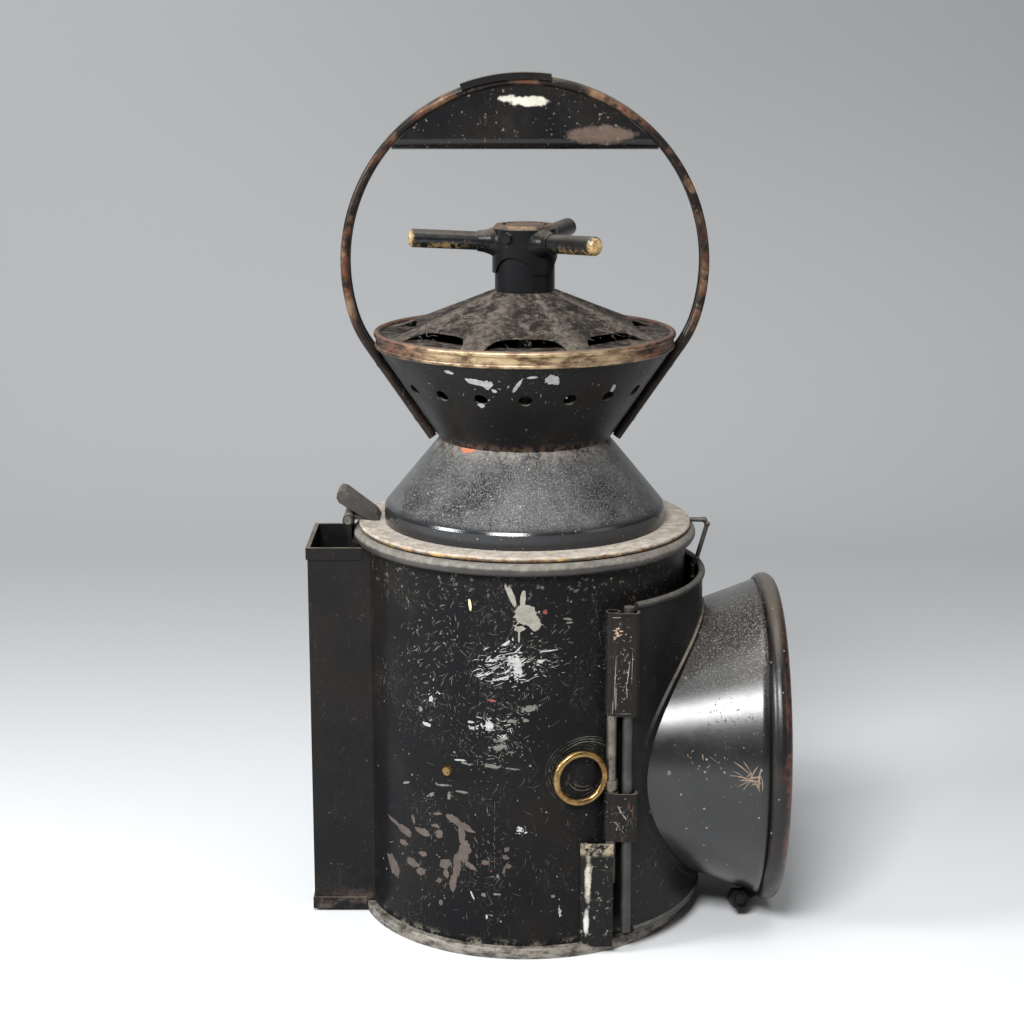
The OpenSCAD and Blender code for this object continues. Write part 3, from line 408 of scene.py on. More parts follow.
def glass(name, colour, rough=0.04):
    """Old pressed glass: a faint waviness, dust film and specks."""
    m = Mat(name)
    film = m.step(m.noise(17, 6, 0.7), 0.42, 0.72)
    wave = m.noise(13, 2, 0.4)
    col = m.mix(m.mul(film, 0.22), colour, DUST)
    r = m.math("MULTIPLY_ADD", film, 0.16, rough)
    m.bump(m.math("MULTIPLY_ADD", m.noise(1.2, 3, 0.6), 0.08, wave), 0.08, 0.5)
    m.finish(col, r)
    m.put(m.bsdf.inputs["Transmission Weight"], m.lerp(m.mul(film, 0.35), 0.97, 0.55))
    m.bsdf.inputs["IOR"].default_value = 1.5
    return m.mat


def cloth(name):
    """Woven cotton wick, charred at its top."""
    m = Mat(name)
    warp = m.nodes.new("ShaderNodeTexWave")
    warp.inputs["Scale"].default_value = 420.0
    m.links.new(m.nodes.new("ShaderNodeTexCoord").outputs["Object"], warp.inputs["Vector"])
    char = m.step(m.z, 60, 69)
    col = m.mix(m.noise(3, 4, 0.6), (0.42, 0.38, 0.30), (0.62, 0.58, 0.48))
    col = m.mix(char, col, (0.012, 0.010, 0.009))
    m.bump(warp.outputs[1], 0.5, 0.3)
    return m.finish(col, 0.95)


def rim_wear(m):
    """Paint worn off the hoop's two wired edges, more on its outer side."""
    side = m.step(m.math("ABSOLUTE", m.y), 3.4, 4.9)
    n = m.step(m.noise(11, 5, 0.68), 0.44, 0.62)
    legs = m.step(m.z, 226, 236, 0.12, 1.0)
    return m.mul(m.mul(m.mul(side, n), legs), 0.8)


def crown_finish(name):
    """Crown: fuzzy grey-brown dust that lies thick along the ridges and thin on the panels between them."""
    m = Mat(name)
    angle = m.math("MULTIPLY", m.math("ARCTAN2", m.y, m.x), 4.0 / math.pi)
    turn = m.math("PINGPONG", m.math("ADD", angle, 20.0), 0.5)
    ridge = m.step(m.math("ABSOLUTE", m.math("SUBTRACT", turn, 0.5)), 0.22, 0.03)
    blotch = m.noise(7, 6, 0.68, distort=0.6)
    clump = m.noise(2.4, 5, 0.75, offset=(2, 9, 4))
    grit = m.noise(0.7, 4, 0.8)
    lay = m.math("MULTIPLY_ADD", ridge, 0.20, blotch)
    lay = m.math("MULTIPLY_ADD", m.math("SUBTRACT", clump, 0.5), 0.55, lay)
    mask = m.step(lay, 0.40, 0.66)
    light = m.mix(m.step(clump, 0.36, 0.66), (0.045, 0.037, 0.030), (0.150, 0.126, 0.102))
    light = m.mix(m.mul(m.step(grit, 0.56, 0.70), 0.7), light, (0.27, 0.235, 0.195))
    dark = m.mix(m.step(grit, 0.45, 0.65), (0.010, 0.0085, 0.0072), (0.032, 0.026, 0.021))
    col = m.mix(mask, dark, light)
    rust = m.mul(m.step(m.noise(11, 4, 0.6, offset=(7, 7, 2)), 0.60, 0.70), 0.35)
    col = m.mix(rust, col, (0.085, 0.042, 0.028))
    h = m.math("MULTIPLY_ADD", grit, 0.6, m.mul(clump, 1.6))
    h = m.math("MULTIPLY_ADD", ridge, 0.9, h)
    m.bump(h, 0.85, 1.3)
    return m.finish(col, m.lerp(mask, 0.72, 0.96), spec=0.2)


def flange_wear(m):
    """Metal worn through on the flange's outer edge."""
    r = m.radius()
    return m.mul(m.mul(m.step(r, 62.6, 63.6), m.step(m.nz, 0.9, 0.2)), m.step(m.noise(9, 5, 0.7), 0.44, 0.60))


def brass_band(name):
    """Rim of the bowl: brass and copper brown, with painted light: gold and pale flecks gather on the side
    towards the camera as a painted highlight, and it turns dark further round as painted shade; dust on top.
    """
    m = Mat(name)
    front = m.step(m.y, -30, -54)
    n = m.noise(4.5, 6, 0.7, stretch=(1.6, 1.6, 0.7))
    gold = m.mix(m.step(n, 0.34, 0.62), (0.11, 0.062, 0.032), (0.50, 0.375, 0.22))
    dark = m.mix(m.step(n, 0.40, 0.62), (0.035, 0.024, 0.018), (0.24, 0.105, 0.07))
    # Painted highlight: the mix towards gold follows the side that faces the camera, and the pale flecks
    # below are kept to that side too; further round it falls to the dark copper as painted shade.
    painted_sheen = m.math("MULTIPLY_ADD", m.math("SUBTRACT", m.noise(14, 4, 0.6), 0.5), 0.9, front, clamp=True)
    col = m.mix(painted_sheen, dark, gold)
    pale = m.step(m.noise(2.4, 4, 0.7, offset=(8, 8, 1)), 0.62, 0.70)
    col = m.mix(m.mul(pale, m.mul(front, 0.7)), col, (0.50, 0.45, 0.37))
    up = m.mul(m.step(m.nz, 0.25, 0.8), 0.85)
    col = m.mix(up, col, m.mix(m.noise(2, 4, 0.7), (0.030, 0.019, 0.015), (0.17, 0.105, 0.078)))
    rough = m.lerp(up, m.math("MULTIPLY_ADD", n, 0.35, 0.22), 0.7)
    m.bump(m.math("MULTIPLY_ADD", m.noise(1.2, 4, 0.7), 0.5, n), 0.4, 0.3)
    return m.finish(col, rough, m.lerp(up, 0.75, 0.0))


def cone_finish(name):
    """Lower cone: satin black under an even sprinkling of pale dust, glossy at its foot."""
    m = Mat(name)
    grain = m.noise(0.55, 2, 0.6)
    cloud = m.noise(18, 5, 0.65)
    band = m.step(m.z, 162.2, 160.9)
    powder = m.math("MULTIPLY_ADD", m.step(grain, 0.47, 0.66), 0.34, m.mul(m.step(cloud, 0.32, 0.72), 0.20))
    powder = m.mul(powder, m.step(m.z, 160.8, 164))
    drift = m.mul(m.step(m.z, 181, 187), m.step(m.noise(3, 4, 0.7), 0.4, 0.6))
    col = m.mix(powder, (0.014, 0.0145, 0.016), (0.285, 0.278, 0.266))
    col = m.mix(m.mul(drift, 0.45), col, DUST)
    runs = m.step(m.noise(2.4, 3, 0.5, stretch=(1, 1, 9)), 0.60, 0.68)
    runs = m.mul(runs, m.step(m.noise(15, 3, 0.6), 0.48, 0.6))
    col = m.mix(m.mul(runs, 0.5), col, BLACK)
    motes = m.step(m.cells(2.6), 0.13, 0.09)
    motes = m.mul(motes, m.mul(m.step(m.noise(14, 3, 0.6, offset=(9, 1, 1)), 0.45, 0.6), 0.8))
    col = m.mix(motes, col, (0.36, 0.34, 0.31))
    spot = m.near((-21.0, -24.5, 187.2), 2.4, 0.6, stretch=(1.6, 1.4, 0.8), ragged=0.8, grain=3)
    col = m.mix(spot, col, (0.36, 0.13, 0.07))
    rough = m.lerp(m.math("MULTIPLY", powder, 1.4, clamp=True), 0.26, 0.55)
    rough = m.lerp(band, rough, 0.14)
    m.bump(m.math("MULTIPLY_ADD", grain, 0.5, m.mul(cloud, 0.5)), 0.22, 0.3)
    return m.finish(col, rough, spec=0.5)


def hood_finish(name):
    """Hood: deep gloss, with a sprinkling of dust that thickens towards its top."""
    m = Mat(name)
    cloud = m.noise(30, 5, 0.6)
    grain = m.noise(0.6, 2, 0.6)
    col = m.mix(m.step(cloud, 0.4, 0.7), (0.0050, 0.0052, 0.0058), (0.011, 0.010, 0.009))
    up = m.math("MULTIPLY", m.step(m.z, 88, 126), m.step(grain, 0.50, 0.66))
    col = m.mix(m.mul(up, 0.62), col, (0.32, 0.30, 0.27))
    haze = m.mul(m.step(m.z, 84, 116), 0.07)
    col = m.mix(haze, col, (0.30, 0.28, 0.25))
    specks = m.mul(m.step(m.cells(6.0), 0.085, 0.06), 0.7)
    col = m.mix(specks, col, (0.25, 0.23, 0.2))
    rough = m.math("MULTIPLY_ADD", m.noise(12, 6, 0.7), 0.26, 0.17)
    rough = m.lerp(m.mul(up, 0.8), rough, 0.7)
    m.bump(m.math("MULTIPLY_ADD", grain, 0.3, cloud), 0.16, 0.4)
    return m.finish(col, rough, coat=0.42, coat_rough=0.24, spec=0.45)


def bezel_finish(name):
    """Bezel: black gloss with the copper-brown metal worn through along its crown, more on the outer side."""
    m = Mat(name)
    n = m.noise(13, 5, 0.65)
    b = m.noise(2.2, 5, 0.7)
    outer = m.step(m.x, 94.5, 97.8)
    worn = m.mul(m.step(m.math("MULTIPLY_ADD", outer, 0.10, n), 0.50, 0.62), m.lerp(outer, 0.16, 0.9))
    copper = m.mix(m.step(b, 0.38, 0.64), (0.045, 0.022, 0.016), (0.14, 0.066, 0.042))
    col = m.mix(worn, (0.0075, 0.0065, 0.0065), copper)
    col = m.mix(m.mul(m.step(m.nz, 0.6, 0.97), 0.35), col, DUST)
    rim = m.mul(m.step(m.cells(4.5), 0.11, 0.08), 0.8)
    col = m.mix(rim, col, (0.26, 0.22, 0.17))
    rough = m.math("MULTIPLY_ADD", b, 0.35, 0.16)
    m.bump(b, 0.2, 0.25)
    return m.finish(col, rough, m.mul(worn, 0.6), coat=0.05, spec=0.35)


def base_finish(name):
    """Base rim: dark metal mottled with grey-brown grime."""
    m = Mat(name)
    n = m.noise(5, 6, 0.72, stretch=(1.4, 1.4, 0.6))
    col = m.mix(m.step(n, 0.36, 0.60), (0.020, 0.017, 0.014), (0.22, 0.20, 0.17))
    col = m.mix(m.step(m.noise(2, 4, 0.7, offset=(4, 4, 0)), 0.58, 0.66), col, (0.16, 0.11, 0.07))
    m.bump(m.math("MULTIPLY_ADD", m.noise(1.3, 4, 0.7), 0.5, n), 0.4, 0.3)
    return m.finish(col, m.math("MULTIPLY_ADD", n, 0.4, 0.35), 0.15)


# Chips on the front of the bowl, in the same terms
BOWL_CHIPS = (
    (-17.0, 216.0, 4.4, 1.2, 8), (-13.5, 215.2, 1.6, 1.8, 0), (-11.2, 212.8, 1.1, 0.6, 20),
    (-3.0, 215.0, 0.7, 3.0, 32), (2.4, 218.6, 1.8, 0.5, -5), (9.6, 217.4, 2.6, 2.0, -15),
    (-27.5, 219.3, 1.7, 0.6, 10), (-16.0, 206.5, 1.3, 0.8, 20), (32.0, 212.0, 0.7, 1.6, 20),
)


def blot(centre, radius, soft, stretch, ragged, grain):
    """Mask maker for one blot with a ragged edge."""
    return lambda m: m.near(centre, radius, soft, stretch=stretch, ragged=ragged, grain=grain)


def strip_patches():
    return (
        (blot((23.5, -60, 30), 1.0, 0.4, (1.1, 3, 7.5), 0.9, 4), (0.50, 0.47, 0.38), 0.6),
        (blot((23.0, -60, 13), 1.0, 0.4, (0.9, 3, 4.5), 0.9, 4), (0.60, 0.60, 0.56), 0.6),
        (lambda m: m.mul(m.step(m.z, 38.5, 41.5), flecks(m, 3, 0.42, 0.56)), (0.30, 0.25, 0.18), 0.6),
        (lambda m: flecks(m, 2.6, 0.60, 0.64, (5, 2, 5)), (0.20, 0.175, 0.14), 0.6),
    )


def scratched(m):
    """Bright lines scraped along the latch guides by the pin and by hands."""
    line = m.step(m.noise(0.5, 2, 0.5, stretch=(1, 1, 26)), 0.64, 0.70)
    return m.mul(m.mul(line, m.step(m.noise(12, 4, 0.6), 0.46, 0.62)), 0.7)


def hub_wear(m):
    """Metal worn through on the top of the knob's hub."""
    return m.mul(m.step(m.z, 266.2, 267.6), flecks(m, 4, 0.42, 0.58))


def arm_tips(m):
    return m.mul(m.step(m.radius(), 41.5, 43.5), flecks(m, 2.6, 0.42, 0.54))


def arm_undersides(m):
    reach = m.mul(m.step(m.radius(), 20, 30), m.step(m.z, 262.6, 259.8))
    return m.mul(reach, flecks(m, 2.2, 0.49, 0.56, rough=0.75))


HOOP = paint("hoop_paint", dust=0.35, edge=rim_wear, gloss=0.30, tint=(0.011, 0.0085, 0.0075))
GUARD = paint("guard_paint", (
    (blot((1.5, -4, 313.2), 1.6, 0.3, (4.6, 3, 1.15), 1.5, 5), (0.52, 0.50, 0.42), 0.55),
    (blot((-6, -4, 314.2), 1.0, 0.3, (3.0, 3, 1.2), 1.2, 4), (0.50, 0.48, 0.40), 0.55),
    (blot((28, -4, 301), 3.4, 0.6, (3.4, 3, 1.0), 2.4, 6), (0.085, 0.055, 0.04), 0.55),
    (lambda m: m.mul(flecks(m, 2.2, 0.63, 0.66, (1, 1, 1)), 0.8), (0.22, 0.17, 0.12), 0.55),
), dust=0.3, speck=0.7, gloss=0.20, spec=0.34)
CONE = cone_finish("lower_cone_dust")
BOWL = paint("bowl_paint", (
    (lambda m: m.mul(m.step(m.z, 191, 187.2), flecks(m, 3, 0.44, 0.58)), (0.10, 0.06, 0.04), 0.6),
), dust=0.4, speck=0.8, gloss=0.36)
RIM = brass_band("rim_brass")
FLANGE = dusty("flange_dust", (0.065, 0.048, 0.037), (0.44, 0.385, 0.325), 0.95, flange_wear,
               fuzz=0.3, patchy=0.7)
BEAD = dusty("bead_dust", (0.024, 0.021, 0.018), (0.23, 0.212, 0.182), 0.72, fuzz=0.3, patchy=0.9)
CROWN = crown_finish("crown_dust")
LEVER = dusty("lever_dust", (0.022, 0.019, 0.016), (0.15, 0.13, 0.105), 0.7, fuzz=0.4)
HOOD = hood_finish("hood_gloss")
BEZEL = bezel_finish("bezel_copper")
BASE = base_finish("base_cream")
STRIP = paint("strip_paint", strip_patches(), dust=0.3, speck=0.9, gloss=0.34)
GUIDE = paint("guide_paint", dust=0.3, edge=scratched, gloss=0.28, speck=0.7, tint=(0.009, 0.008, 0.007))
DOOR_EDGE = dusty("door_edge_dust", (0.013, 0.012, 0.011), (0.15, 0.14, 0.12), 0.5, fuzz=0.3)
KNOB = paint("knob_paint", dust=0.35, edge=hub_wear, gloss=0.28)
ARMS = paint("arm_paint", (
    (arm_tips, (0.42, 0.28, 0.12), 0.35),
    (arm_undersides, (0.36, 0.24, 0.10), 0.4),
), dust=0.25, speck=0.9, gloss=0.26, spec=0.4)
BRASS_M = metal_piece("ring_brass", (0.19, 0.105, 0.04), (0.38, 0.25, 0.095), 0.24, black=0.12, grime=0.6)
STEEL = metal_piece("dull_steel", (0.15, 0.135, 0.115), (0.24, 0.215, 0.18), 0.42, black=0.3, grime=0.7)
REFLECT = metal_piece("tin_reflector", (0.62, 0.61, 0.58), (0.70, 0.69, 0.66), 0.12, grime=0.25)
TANK = metal_piece("tank_lacquer", (0.26, 0.20, 0.12), (0.36, 0.28, 0.17), 0.38, black=0.2, grime=0.5)
LENS = glass("lens_glass", (0.90, 0.96, 0.94))
RED = glass("red_glass", (0.75, 0.02, 0.015))
GREEN = glass("green_glass", (0.02, 0.55, 0.24))
WICK = cloth("wick_cotton")
BLACK_IRON = paint("black_iron", dust=0.3, gloss=0.4, speck=0.2)

LOOK = {
    BODY: ["body_shell", "base_pan"],
    BASE: ["base_rim"],
    BEAD: ["shell_top_bead"],
    BRASS_M: ["body_rivets", "pull_ring", "burner_collar", "wick_tube", "burner_cone", "filler_cap",
              "wick_shaft", "wick_knob"],
    SOCKET: ["bracket_socket", "socket_bands"],
    BLACK_PAINT: ["lid_hinge_bracket", "door_hinge_leaf", "door_hinge_knuckles", "door_panel", "hood_collar",
                  "neck_tube", "grip_clip", "drum_frame", "lid_collar"],
    STEEL: ["lid_hinge_pin", "door_hinge_pin", "drum_track", "burner_tray", "reflector_bracket",
            "drum_bottom_ring", "drum_top_ring", "drum_bridge", "glass_clips", "spindle_guide", "spindle",
            "lens_seat", "latch_pin"],
    STRIP: ["latch_strip"],
    TANK: ["oil_reservoir"],
    REFLECT: ["reflector"],
    WICK: ["wick"],
    RED: ["red_glass"],
    GREEN: ["green_glass"],
    FLANGE: ["lid_flange"],
    CONE: ["lower_cone"],
    BOWL: ["chimney_bowl"],
    RIM: ["bowl_rim"],
    CROWN: ["crown_cap"],
    HOOP: ["handle_hoop", "handle_rivets"],
    GUARD: ["hand_grip"],
    LEVER: ["thumb_lever", "lid_catch_wire"],
    KNOB: ["turn_knob"],
    ARMS: ["knob_arms"],
    DOOR_EDGE: ["door_edge_roll"],
    HOOD: ["lens_hood"],
    BEZEL: ["bezel_ring"],
    LENS: ["lens"],
    BLACK_IRON: ["bezel_clamp"],
    GUIDE: ["latch_guides"],
}
for material, names in LOOK.items():
    for name in names:
        mesh = nodes[name].data
        mesh.materials.clear()
        mesh.materials.append(material)


# ---------------------------------------------------------------- pieces of its own
def own_piece(name, verts, faces, material, body, smooth=True):
    """A mesh in millimetres that rides on a CAD body."""
    mesh = bpy.data.meshes.new(name)
    mesh.from_pydata([tuple(c * MM for c in v) for v in verts], [], faces)
    mesh.polygons.foreach_set("use_smooth", [smooth] * len(faces))
    mesh.materials.append(material)
    obj = bpy.data.objects.new(name, mesh)
    bpy.context.scene.collection.objects.link(obj)
    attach(obj, body)
    return obj


def flake(name, colour, rough=0.62):
    """Old paint or primer in a scale: two tones, grime at the edges of its grain."""
    m = Mat(name)
    a = m.step(m.noise(2.6, 5, 0.7), 0.36, 0.66)
    col = m.mix(a, tuple(c * 0.70 for c in colour), colour)
    col = m.mix(m.mul(m.step(m.noise(0.7, 3, 0.7), 0.58, 0.70), 0.6), col, tuple(c * 0.35 for c in colour))
    m.bump(m.noise(0.8, 4, 0.7), 0.3, 0.15)
    return m.finish(col, rough, spec=0.3)


def on_body(x, z, lift, radius=BODY_R):
    """Point on the front of the body, or of the bowl with its radius; None above or below their walls."""
    if not BODY_LOW < z < BOWL_HIGH or BODY_HIGH < z < BOWL_LOW:
        return None
    r = radius + lift
    reach = r * 0.985
    x = max(-reach, min(reach, x))
    return (x, -math.sqrt(r * r - x * x), z)


def on_bowl(x, z, lift):
    return on_body(x, z, lift, BOWL_FOOT_R + (z - BOWL_FOOT_Z) * BOWL_FLARE / BOWL_RISE)


class Scales:
    """Collects ragged scales and strokes that lie on a surface."""

    def __init__(self, seed, place):
        self.rng = random.Random(seed)
        self.place = place
        self.verts, self.faces = [], []

    def point(self, x, z, u, v, slant, lift):
        c, s = math.cos(math.radians(slant)), math.sin(math.radians(slant))
        self.verts.append(self.place(x + u * c + v * s, z - u * s + v * c, lift))

    def scale(self, x, z, a, b, slant, ragged):
        """A ragged ellipse."""
        n = max(14, min(56, int((a + b) * 12)))
        lift = 0.035 + self.rng.random() * 0.02
        waves = [(k, self.rng.uniform(-1, 1) / (k ** 0.75), self.rng.uniform(0, 6.3))
                 for k in (2, 3, 4, 5, 7, 9, 12)]
        base = len(self.verts)
        self.point(x, z, 0, 0, slant, lift)
        for ring in (0.5, 1.0):
            for i in range(n):
                t = 2 * math.pi * i / n
                r = 1 + ragged * sum(w * math.sin(k * t + ph) for k, w, ph in waves)
                r = max(0.25, r + self.rng.uniform(-0.5, 0.5) * ragged) * ring
                self.point(x, z, a * r * math.cos(t), b * r * math.sin(t), slant, lift)
        for i in range(n):
            j = (i + 1) % n
            self.faces.append((base, base + 1 + i, base + 1 + j))
            self.faces.append((base + 1 + i, base + 1 + n + i, base + 1 + n + j, base + 1 + j))

    def stroke(self, x, z, length, width, slant, bend=0.0):
        """A thin mark that tapers to both ends."""
        lift = 0.03 + self.rng.random() * 0.02
        base = len(self.verts)
        steps = 5
        for i in range(steps + 1):
            t = i / steps - 0.5
            w = width * (0.25 + 0.75 * (1 - (2 * t) ** 2)) * self.rng.uniform(0.6, 1.2)
            v = bend * (0.25 - t * t) * 4
            for side in (-0.5, 0.5):
                self.point(x, z, t * length, v + side * w, slant, lift)
        for i in range(steps):
            k = base + 2 * i
            self.faces.append((k, k + 2, k + 3, k + 1))

    def cluster(self, count, x, z, rx, rz, slants, length, width):
        """Strokes scattered in an ellipse, thicker towards its middle."""
        for _ in range(count):
            while True:
                u, v = self.rng.gauss(0, 0.48), self.rng.gauss(0, 0.48)
                if u * u + v * v < 1:
                    break
            slant = self.rng.choice(slants) + self.rng.uniform(-14, 14)
            size = self.rng.uniform(*length)
            px, pz = x + u * rx, z + v * rz
            if self.rng.random() < 0.35:
                self.scale(px, pz, self.rng.uniform(0.12, 0.38), self.rng.uniform(0.12, 0.30), slant, 0.3)
            else:
                across = self.rng.uniform(*width)
                self.stroke(px, pz, size, across, slant, self.rng.uniform(-0.12, 0.12) * size)

    def shatter(self, count, x, z, rx, rz, slant, size=(0.10, 0.55)):
        """Small scales packed in an ellipse, so that together they read as one broken patch."""
        c, s = math.cos(math.radians(slant)), math.sin(math.radians(slant))
        for _ in range(count):
            u, v = self.rng.gauss(0, 0.5) * rx, self.rng.gauss(0, 0.5) * rz
            a, b = self.rng.uniform(*size), self.rng.uniform(*size) * 0.7
            self.scale(x + u * c + v * s, z - u * s + v * c, a, b, slant + self.rng.uniform(-25, 25), 0.32)

    def arc(self, x, z, r, a0, a1, width):
        """Part of a thin ring."""
        base, n = len(self.verts), 18
        for i in range(n + 1):
            t = math.radians(a0 + (a1 - a0) * i / n)
            w = width * (0.3 + 0.7 * math.sin(math.pi * i / n)) * self.rng.uniform(0.5, 1.2)
            for side in (-0.5, 0.5):
                q = r + side * w
                self.point(x, z, q * math.cos(t), q * math.sin(t), 0, 0.04)
        for i in range(n):
            k = base + 2 * i
            self.faces.append((k, k + 2, k + 3, k + 1))

    def build(self, name, material, body):
        """Points off the surface are None; the faces that use them are left out."""
        kept = [f for f in self.faces if all(self.verts[i] is not None for i in f)]
        index = {i: n for n, i in enumerate(sorted({i for f in kept for i in f}))}
        verts = [self.verts[i] for i in index]
        faces = [tuple(index[i] for i in f) for f in kept]
        obj = own_piece(name, verts, faces, material, body, smooth=False)
        thick = obj.modifiers.new("thickness", "SOLIDIFY")
        thick.thickness = SCALE_T * MM
        thick.offset = 0.0
        return obj


FLAKE_PRIMER = flake("flake_primer", (0.27, 0.255, 0.215))
FLAKE_WHITE = flake("flake_white", (0.40, 0.40, 0.385))
FLAKE_GREY = flake("flake_grey", (0.145, 0.14, 0.12))
FLAKE_BROWN = flake("flake_brown", (0.092, 0.071, 0.058))
FLAKE_FAINT = flake("flake_faint", (0.075, 0.073, 0.066))
FLAKE_CREAM = flake("flake_cream", (0.60, 0.54, 0.32))
FLAKE_RED = flake("flake_red", (0.19, 0.045, 0.035))


def body_scales(name, seed, spots, material, ragged, clusters=(), arcs=(), broken=0):
    k = Scales(seed, on_body)
    for x, z, a, b, slant in spots:
        if broken and a * b > 1.2:
            k.scale(x, z, a * 0.62, b * 0.62, slant, 0.34)
            k.shatter(int(broken * a * b), x, z, a * 1.05, b * 1.05, slant)
        else:
            k.scale(x, z, a, b, slant, ragged)
    for c in clusters:
        k.cluster(*c)
    for c in arcs:
        k.arc(*c)
    k.build(name, material, "case")


body_scales("chips_primer", 3, PRIMER, FLAKE_PRIMER, 0.17, (
    (26, 0.5, 131.5, 6, 5, (20, -30, 75), (0.6, 2.2), (0.3, 0.8)),
))
body_scales("chips_white", 5, WHITE_MARKS, FLAKE_WHITE, 0.26, (
    (95, -6.5, 113.5, 12, 9, (-20, -14, -34), (1.0, 4.6), (0.14, 0.42)),
    (34, -12, 91, 10, 5, (-8, 20, 70), (0.6, 2.6), (0.14, 0.40)),
    (22, 7, 114, 8, 7, (-12, 25), (0.8, 3.2), (0.10, 0.26)),
    (14, -35, 96, 5, 14, (-50, 10, 80), (0.6, 2.0), (0.12, 0.30)),
), broken=7)
body_scales("chips_grey", 7, GREY_MARKS, FLAKE_GREY, 0.26, (
    (150, -12, 103, 27, 33, (-62, -18, 35, 85), (0.8, 3.4), (0.10, 0.26)),
    (80, -35, 120, 14, 22, (-55, -30, 70), (0.8, 3.6), (0.10, 0.26)),
    (60, 6, 122, 18, 16, (-14, 30, -60), (0.8, 3.0), (0.10, 0.24)),
    (55, -20, 40, 34, 34, (-70, 80, -20), (0.6, 2.6), (0.10, 0.26)),
    (40, -8, 84, 14, 10, (-12, 20, 65), (0.8, 3.6), (0.12, 0.32)),
), ((22.3, 72.0, 11.6, 48, 128, 0.30), (22.3, 72.0, 12.6, 55, 122, 0.26), (22.3, 72.0, 13.5, 62, 118, 0.22),
    (22.0, 71.0, 6.4, 205, 300, 0.24), (22.0, 71.5, 5.4, 215, 290, 0.20)), broken=4)
body_scales("chips_brown", 11, BROWN_MARKS, FLAKE_BROWN, 0.27, (
    (30, -30, 38, 26, 16, (20, -30, 75), (0.6, 2.4), (0.3, 0.8)),
))
body_scales("chips_faint", 13, (), FLAKE_FAINT, 0.3, (
    (230, -16, 105, 38, 40, (-62, -25, 10, 45, 85), (0.8, 4.5), (0.08, 0.22)),
    (120, -12, 40, 44, 42, (-70, 80, -20, 20), (0.8, 4.0), (0.08, 0.22)),
))
body_scales("chips_cream", 17, CREAM_MARKS, FLAKE_CREAM, 0.12)
body_scales("chips_red", 19, RED_MARKS, FLAKE_RED, 0.3)
dots = Scales(23, on_body)
for i in range(34):
    if dots.rng.random() < 0.72:
        dots.stroke(-11.3 + dots.rng.uniform(-0.1, 0.1), 63.5 - i * 0.86, dots.rng.uniform(0.3, 0.8), 0.2, 88)
dots.build("chips_line", FLAKE_GREY, "case")

bowl_chips = Scales(29, on_bowl)
for x, z, a, b, slant in BOWL_CHIPS:
    bowl_chips.scale(x, z, a, b, slant, 0.26)
bowl_chips.cluster(16, -8, 212, 26, 7, (-60, 20, 80), (0.5, 1.8), (0.10, 0.26))
bowl_chips.build("chips_bowl", FLAKE_WHITE, "lid")


def on_hood(x, z, lift):
    """Point on the near side of the hood, for a distance from the body's axis and a height; None off it."""
    r = 58.0
    for _ in range(6):
        a = math.asin(max(-0.999, min(0.999, (z - HOOD_Z) / r)))
        foot = math.sqrt(DOOR_R * DOOR_R - (HOOD_R0 * math.cos(a)) ** 2)
        f = max(0.0, min(1.0, (x - foot) / (HOOD_X1 - foot)))
        r = HOOD_R0 + (HOOD_R1 - HOOD_R0) * f
    if not foot + 0.5 < x < HOOD_X1 - 1.4:
        return None
    return (x - lift * 0.2, -(r + lift) * math.cos(a), z + lift * math.sin(a))


def on_guide(x, z, lift):
    return (x, GUIDE_Y - lift, z)


hood_chips = Scales(31, on_hood)
for x, z, length, width, slant in (
    (86.6, 69.9, 8.6, 0.9, -86), (80.4, 73.2, 8.8, 0.42, 38), (79.2, 70.2, 7.4, 0.50, 8),
    (82.2, 73.4, 7.0, 0.36, 58), (84.4, 72.2, 6.4, 0.40, -62), (83.0, 69.0, 7.6, 0.9, 2),
    (80.6, 67.6, 5.4, 0.34, -28), (85.6, 66.8, 4.6, 0.40, 62), (82.0, 67.2, 4.6, 0.36, -52),
    (87.2, 68.4, 6.0, 0.30, 84), (78.4, 71.6, 4.0, 0.24, 26), (84.8, 70.4, 5.0, 0.7, -10),
):
    hood_chips.stroke(x, z, length, width, slant, 0.05 * length)
hood_chips.shatter(46, 84.0, 69.4, 3.6, 2.4, 10, (0.10, 0.42))
hood_chips.cluster(16, 66.5, 76, 9, 4, (-40, 15, 70), (0.6, 2.0), (0.15, 0.4))
hood_chips.build("chips_hood", flake("flake_hood", (0.22, 0.165, 0.12)), "lens_door")
hood_marks = Scales(37, on_hood)
hood_marks.cluster(70, 76, 87, 14, 11, (-60, -20, 30, 80), (0.5, 1.8), (0.12, 0.45))
hood_marks.cluster(46, 68, 72, 16, 8, (-50, 20, 65), (0.8, 3.6), (0.08, 0.18))
hood_marks.build("marks_hood", flake("flake_dark", (0.030, 0.027, 0.024)), "lens_door")
hood_specks = Scales(41, on_hood)
hood_specks.cluster(60, 72, 74, 22, 34, (-50, 20, 65), (0.4, 1.4), (0.08, 0.20))
hood_specks.shatter(5, 53.4, 70.0, 0.7, 0.7, 0, (0.3, 0.7))
hood_specks.build("specks_hood", FLAKE_GREY, "lens_door")
